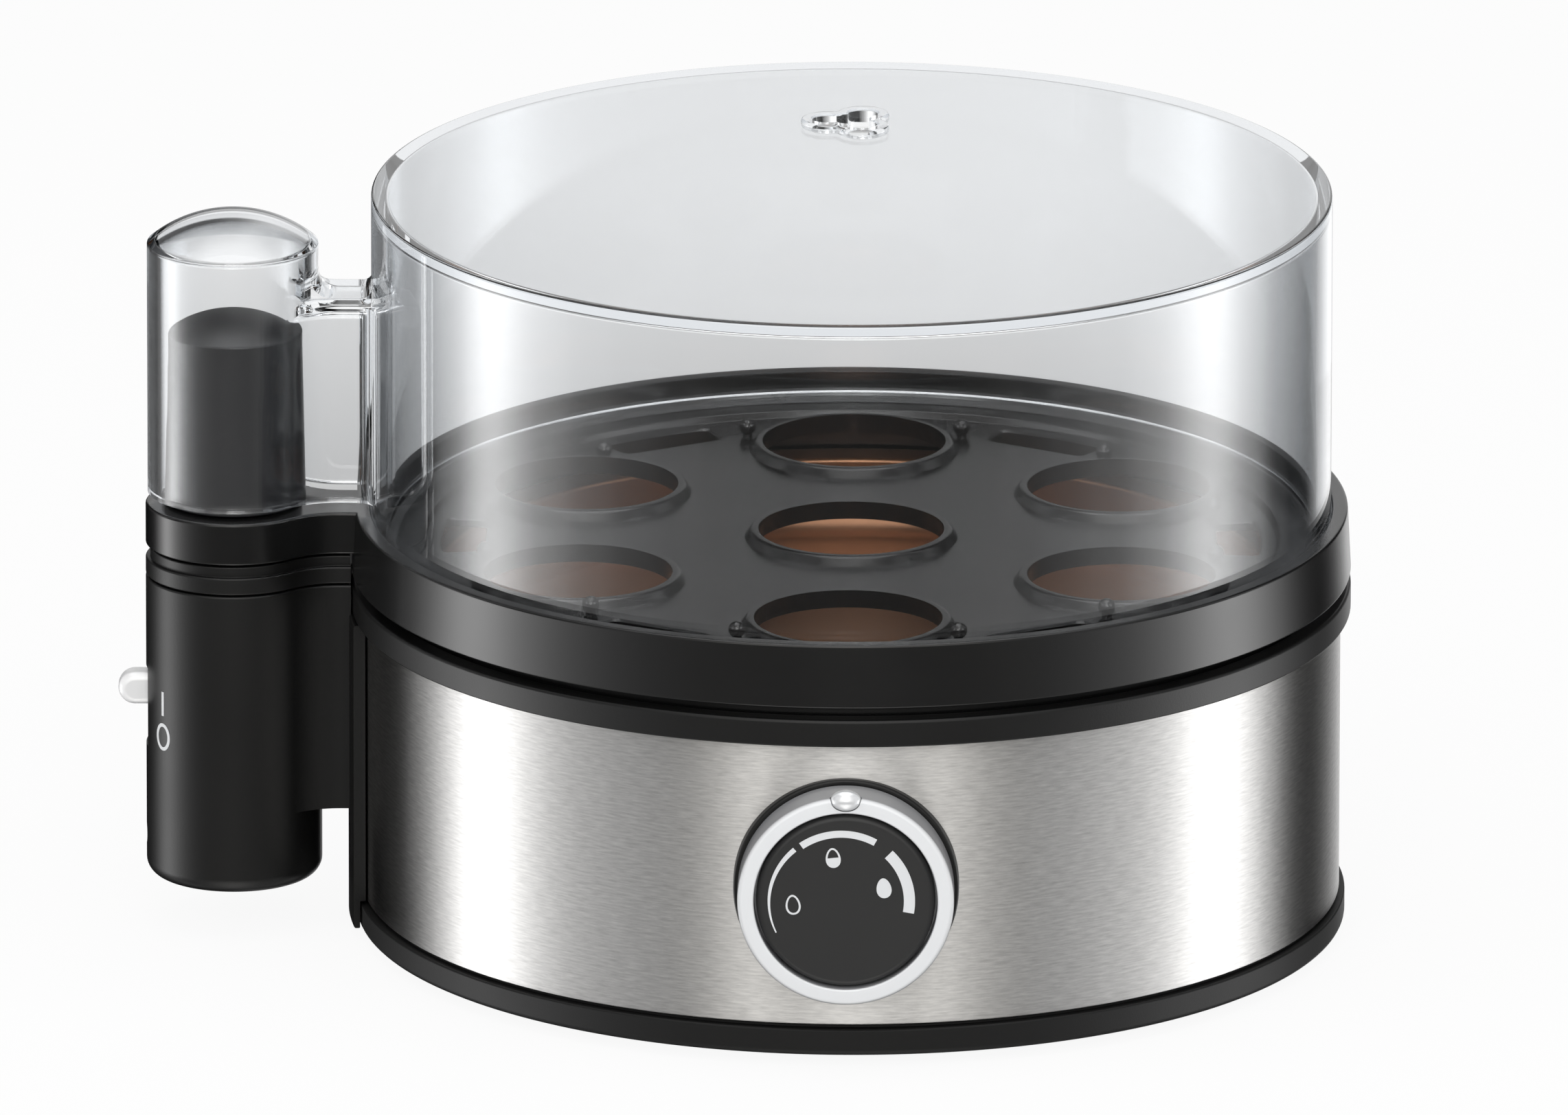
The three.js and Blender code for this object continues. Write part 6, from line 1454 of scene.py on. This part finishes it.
segment = keyhole_loft("segment", rounded([
    (WALL, SEGMENT_FOOT), (0, SEGMENT_FOOT), (0, RING_TOP), (WALL, RING_TOP)], [0, 0.35, RING_EDGE, 0],
    closed=False)[1:-1], SEGMENT_END)
segment_hollow = keyhole_loft(
    "segment_hollow", [(WALL, SEGMENT_FOOT - OVERRUN), (WALL, SEGMENT_CEILING)], NECK_END)
cut(segment, segment_hollow)
join(carrier, segment, lips, pegs)


def window_outline(turn, grow):
    """A part of a ring between two radii and two angles, with rounded corners."""
    inner, outer = WINDOW_INNER - grow, WINDOW_OUTER + grow
    half = WINDOW_HALF + grow / outer
    corners = on_circle(inner, turn + np.array((-half, half)))
    rim = on_circle(outer, turn + np.linspace(half, -half, WINDOW_RIM_STEPS + 1))
    radii = [WINDOW_CORNER] * 3 + [0.0] * (WINDOW_RIM_STEPS - 1) + [WINDOW_CORNER]
    return rounded(np.vstack((corners, rim)), radii)


windows = together("windows", [
    loft("window", [level(window_outline(turn, grow), height) for grow, height in (
        (0, TRAY_FOOT - OVERRUN), (0, TRAY_TOP - CHAMFER),
        (CHAMFER, TRAY_TOP + JUST_ABOVE), (CHAMFER, TRAY_TOP + OVERRUN))])
    for turn in WINDOW_TURNS])
seats = rods("seats", SEAT_RADIUS, TRAY_FOOT - OVERRUN, TRAY_TOP + LIP_HEIGHT + OVERRUN,
             seat_places, 96)
cut(carrier, windows, seats)
dress(carrier, GREY, "carrier", "grey_plastic", "carrier")

# %% [markdown]
# ## Grip post
# The post stands on the segment over the tower, inside the lid's tube, and lets a hand lift the
# carrier. It is a hollow cap, slightly wider at its foot, with a domed top and a boss for the screw
# from below. A cylinder would need its dome sculpted; a turned profile gives wall, dome and rounded
# edge at once.

# %% Post, its boss and its bore
post_low, post_high = size_of("grip_post")
POST_WALL = 1.8
POST_TOP_RADIUS = 11.5
POST_BOTTOM_RADIUS = 12.2
POST_DOME_RISE = 3.4
POST_EDGE = 0.8
POST_BOSS_RADIUS, POST_BORE_RADIUS, POST_BORE_DEPTH = 3.4, 1.85, 15.0
post_shoulder = post_high[2] - POST_DOME_RISE
post_ceiling = post_shoulder - POST_WALL
post_wall = rounded([
    (0, post_ceiling), (POST_TOP_RADIUS - POST_WALL, post_ceiling),
    (POST_BOTTOM_RADIUS - POST_WALL, post_low[2]), (POST_BOTTOM_RADIUS, post_low[2]),
    (POST_TOP_RADIUS, post_shoulder - DOME_WALL * POST_EDGE)], [0, 0.6, 0.2, 0.3, 0], closed=False)
post_dome = dome(POST_TOP_RADIUS, post_shoulder, POST_DOME_RISE, POST_EDGE)[1:]
post = revolve("grip_post_cap", np.vstack((post_wall, post_dome)), TOWER_AXIS, 128)
boss = rods("post_boss", POST_BOSS_RADIUS, post_low[2], post_ceiling + POST_WALL / 2, [TOWER_AXIS])
bore = rods("post_bore", POST_BORE_RADIUS, post_low[2] - OVERRUN, post_low[2] + POST_BORE_DEPTH,
            [TOWER_AXIS])
join(post, boss)
cut(post, bore)
dress(post, FINE_GREY, "carrier", "grey_plastic", "grip_post")

# %% [markdown]
# ## Clear lid
# The lid is one clear moulding: the drum over the seats, the domed tube over the grip post and the
# hollow neck between them. Clear plastic shows both its surfaces, so the walls have their real
# thickness everywhere. Bodies that only overlap would show their hidden faces through the plastic, so
# they are joined into one and the hollows cut out.

# %% Drum of the lid, its handle and its steam vent
LID_TOP = LID_FOOT + 61
LID_WALL = 2.5
LID_EDGE = 0.6
TUBE_RADIUS = 15.2
TUBE_WALL = 2.4
TUBE_INSET = TOWER_RADIUS - TUBE_RADIUS
TUBE_FOOT = RING_TOP + 1.7
SHOULDER = RING_TOP + 47.6
DOME_RISE = 5.6
ROOF_TOP = RING_TOP + 39
ROOF_THICKNESS = 2.6
ROOF_EDGE = 1.3
TUBE_EDGE = 0.4
HOLLOW_DROP = 0.9  # the tube's hollow has its shoulder this far lower
HOLLOW_FLATTER, HOLLOW_EDGE = 1.6, 1.2
FOOT_EDGE = 0.3
TUBE_FILLET, DRUM_FILLET, WALL_FILLET = 3.5, 2.0, 3.0
HIDDEN = 0.02  # the neck's round end stays this far inside the tube
VENT_PLACE = (-0.6, 44.9)
VENT_CORE, VENT_LOBE, VENT_LOBE_OFFSET = 3.4, 2.7, 4.2
VENT_RIM_WIDTH, VENT_RIM_HEIGHT, VENT_EDGE, VENT_CHAMFER = 2.0, 0.8, 0.5, 0.25


def trefoil(growth, count=144):
    """Outline of three round lobes and a core: the farthest crossing of each ray with any circle."""
    angle = np.linspace(0, 2 * np.pi, count, endpoint=False)
    reach = np.full(count, VENT_CORE + growth)
    for lobe_turn in np.pi + np.arange(3) * 2 * np.pi / 3:
        away = VENT_LOBE_OFFSET * np.sin(angle - lobe_turn)
        inside = np.maximum((VENT_LOBE + growth) ** 2 - away ** 2, 0)
        hit = VENT_LOBE_OFFSET * np.cos(angle - lobe_turn) + np.sqrt(inside)
        reach = np.where(inside > 0, np.maximum(reach, hit), reach)
    return on_circle(reach, angle, VENT_PLACE)


inner = LID_RADIUS - LID_WALL
lid = revolve("lid_shell", rounded([
    (0, LID_TOP - LID_WALL), (inner, LID_TOP - LID_WALL), (inner, LID_FOOT), (LID_RADIUS, LID_FOOT),
    (LID_RADIUS, LID_TOP), (0, LID_TOP)],
    [0, LID_EDGE, 0.3, 0.3, LID_EDGE, 0], closed=False, steps=6), sides=256)
handle_wall = rounded([(0, TUBE_FOOT), (TUBE_RADIUS, TUBE_FOOT), (TUBE_RADIUS, ROOF_TOP)],
                      [0, FOOT_EDGE, 0], closed=False)
handle_dome = dome(TUBE_RADIUS, SHOULDER, DOME_RISE, TUBE_EDGE)[1:]
handle = revolve("handle", np.vstack((handle_wall, handle_dome)), TOWER_AXIS)
neck = keyhole_loft("neck", rounded([
    (TUBE_INSET + OVERRUN, TUBE_FOOT), (TUBE_INSET + HIDDEN, TUBE_FOOT), (TUBE_INSET + HIDDEN, ROOF_TOP),
    (TUBE_INSET + 2 * ROOF_EDGE, ROOF_TOP)], [0, FOOT_EDGE, ROOF_EDGE, 0], closed=False)[1:-1],
    LID_RADIUS - LID_WALL / 2)
hollow_radius, hollow_foot = TUBE_RADIUS - TUBE_WALL, TUBE_FOOT - OVERRUN
hollow_dome = dome(hollow_radius, SHOULDER - HOLLOW_DROP, DOME_RISE - HOLLOW_FLATTER, HOLLOW_EDGE)[1:]
hollow_profile = np.vstack(((0, hollow_foot), (hollow_radius, hollow_foot), hollow_dome))
hollow = revolve("handle_hollow", hollow_profile, TOWER_AXIS)
inner_inset, neck_ceiling = TUBE_INSET + TUBE_WALL, ROOF_TOP - ROOF_THICKNESS
neck_hollow = keyhole_loft("neck_hollow", rounded([
    (inner_inset + HIDDEN, hollow_foot), (inner_inset + HIDDEN, neck_ceiling),
    (inner_inset + 2 * ROOF_EDGE, neck_ceiling)], [0, ROOF_EDGE, 0], closed=False)[:-1],
    LID_RADIUS - LID_WALL)


def roof_fillet(name, radius, size, centre):
    """Hollow corner between the neck's roof and a round wall: a quarter circle turned round the wall's
    axis, kept only over the neck."""
    swing = np.linspace(np.pi, 1.5 * np.pi, 9)
    curve = on_circle(size, swing, (radius + size, ROOF_TOP + size))
    sunk, inside = ROOF_TOP - ROOF_EDGE, radius - OVERRUN
    section = np.vstack(((inside, ROOF_TOP + size), curve, (radius + size, sunk), (inside, sunk)))
    ring = revolve(name, section, centre, 256)
    half = NECK_HALF_WIDTH - TUBE_INSET - ROOF_EDGE
    over_neck = block("over_neck", (TOWER_AXIS[0] + TUBE_RADIUS / 2, -half, sunk),
                      (-LID_RADIUS + 2 * LID_WALL, half, ROOF_TOP + 2 * size))
    return change(ring, "INTERSECT", over_neck)


def wall_fillet(side, size):
    """Hollow corner between the neck's side and the drum: the circle of this size that touches both."""
    half = NECK_HALF_WIDTH - TUBE_INSET
    centre = np.array((-math.sqrt((LID_RADIUS + size) ** 2 - (half + size) ** 2), half + size))
    swing = np.linspace(-np.pi / 2, math.atan2(-centre[1], -centre[0]), 13)
    arc = on_circle(size, swing, centre)
    inside = (arc[-1] * (1 - OVERRUN / LID_RADIUS), (OVERRUN - LID_RADIUS, half - OVERRUN),
              (centre[0], half - OVERRUN))
    outline = np.vstack((arc, *inside)) * (1, side)
    return slab("wall_fillet", outline, TUBE_FOOT, ROOF_TOP - ROOF_EDGE)


join(handle, neck, roof_fillet("tube_fillet", TUBE_RADIUS, TUBE_FILLET, TOWER_AXIS),
     roof_fillet("drum_fillet", LID_RADIUS, DRUM_FILLET, (0, 0)))
join(hollow, neck_hollow)
cut(handle, hollow)
join(lid, handle, wall_fillet(1, WALL_FILLET), wall_fillet(-1, WALL_FILLET))
vent_top = LID_TOP + VENT_RIM_HEIGHT
rim_levels = rounded([
    (VENT_RIM_WIDTH, LID_TOP - LID_WALL / 2), (VENT_RIM_WIDTH, vent_top), (0, vent_top)],
    [0, VENT_EDGE, 0], closed=False)[:-1]
hole_levels = ((0, LID_TOP - LID_WALL - OVERRUN), (0, vent_top - VENT_CHAMFER),
               (VENT_CHAMFER, vent_top), (VENT_CHAMFER, vent_top + OVERRUN))
rim, hole = (loft(name, [level(trefoil(growth), height) for growth, height in levels])
             for name, levels in (("vent_rim", rim_levels), ("vent_hole", hole_levels)))
join(lid, rim)
cut(lid, hole)
dress(lid, CLEAR, "lid", "clear_plastic", "lid")

# %% [markdown]
# ## Screws
# The case screws sit in their counterbores and the grip screw under the tower segment. One screw could
# be copied five times as an object, but each finished piece keeps its place in its mesh, so a function
# makes each of them: a turned profile with two crossed bars cut out of its head.

# %% Case screws and grip screw
SCREW_HEAD, SCREW_HEAD_HEIGHT, SCREW_SHANK = 2.8, 1.8, 1.4
CROSS_WIDTH, CROSS_LENGTH, CROSS_DEPTH = 0.7, 3.2, 1.0


def screw(name, cad_node, body):
    """Turned head and shank with a cross recess, in the place of the CAD node's box."""
    low, high = size_of(cad_node)
    place = (low[:2] + high[:2]) / 2
    piece = revolve(name, rounded([
        (0, low[2]), (SCREW_HEAD, low[2]), (SCREW_HEAD, low[2] + SCREW_HEAD_HEIGHT),
        (SCREW_SHANK, low[2] + SCREW_HEAD_HEIGHT), (SCREW_SHANK, high[2]), (0, high[2])],
        [0, 1.1, 0.15, 0, 0.4, 0], closed=False), place, 40)
    for bar in ((CROSS_LENGTH, CROSS_WIDTH), (CROSS_WIDTH, CROSS_LENGTH)):
        half = np.array(bar) / 2
        cut(piece, block("bar", (*(place - half), low[2] - OVERRUN),
                         (*(place + half), low[2] + CROSS_DEPTH)))
    dress(piece, PLATED, body, "plated_metal", cad_node)


for corner in CORNERS:
    screw(f"case_screw_{corner}_head", f"case_screw_{corner}", "base")
screw("grip_screw_head", "grip_screw", "carrier")

# %% [markdown]
# ## Pieces inside the base
# What stays hidden could be modelled anew, but nobody sees it and its CAD shape is right. So it keeps
# that shape and gets a finish: circuit board green, plated metal, rubber and so on. The finish follows
# the slot that the record gives each node.

# %% Finishes for the CAD nodes that stay
FINISH_OF_SLOT = {
    "black_plastic": BLACK, "grey_plastic": GREY, "clear_plastic": CLEAR, "steel": DULL_STEEL,
    "plated_metal": PLATED, "silver_paint": PEARL, "coated_aluminium": COPPER_COAT, "rubber": RUBBER,
    "board_green": BOARD, "insulation": INSULATION,
}
slot_of_node = {row["node"]: row["material_slot"] for row in frame["record"]["subparts"]}
kept = [item for item in frame["nodes"].values() if not item.hide_render]
for item in kept:
    item.data.materials.clear()
    item.data.materials.append(FINISH_OF_SLOT[slot_of_node[item.name]])
print("CAD nodes kept:", len(kept), "new pieces:", len(made))

# %% Sizes, and the end
low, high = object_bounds()
print("visual box in mm:", [round((high[axis] - low[axis]) / MM, 1) for axis in range(3)])
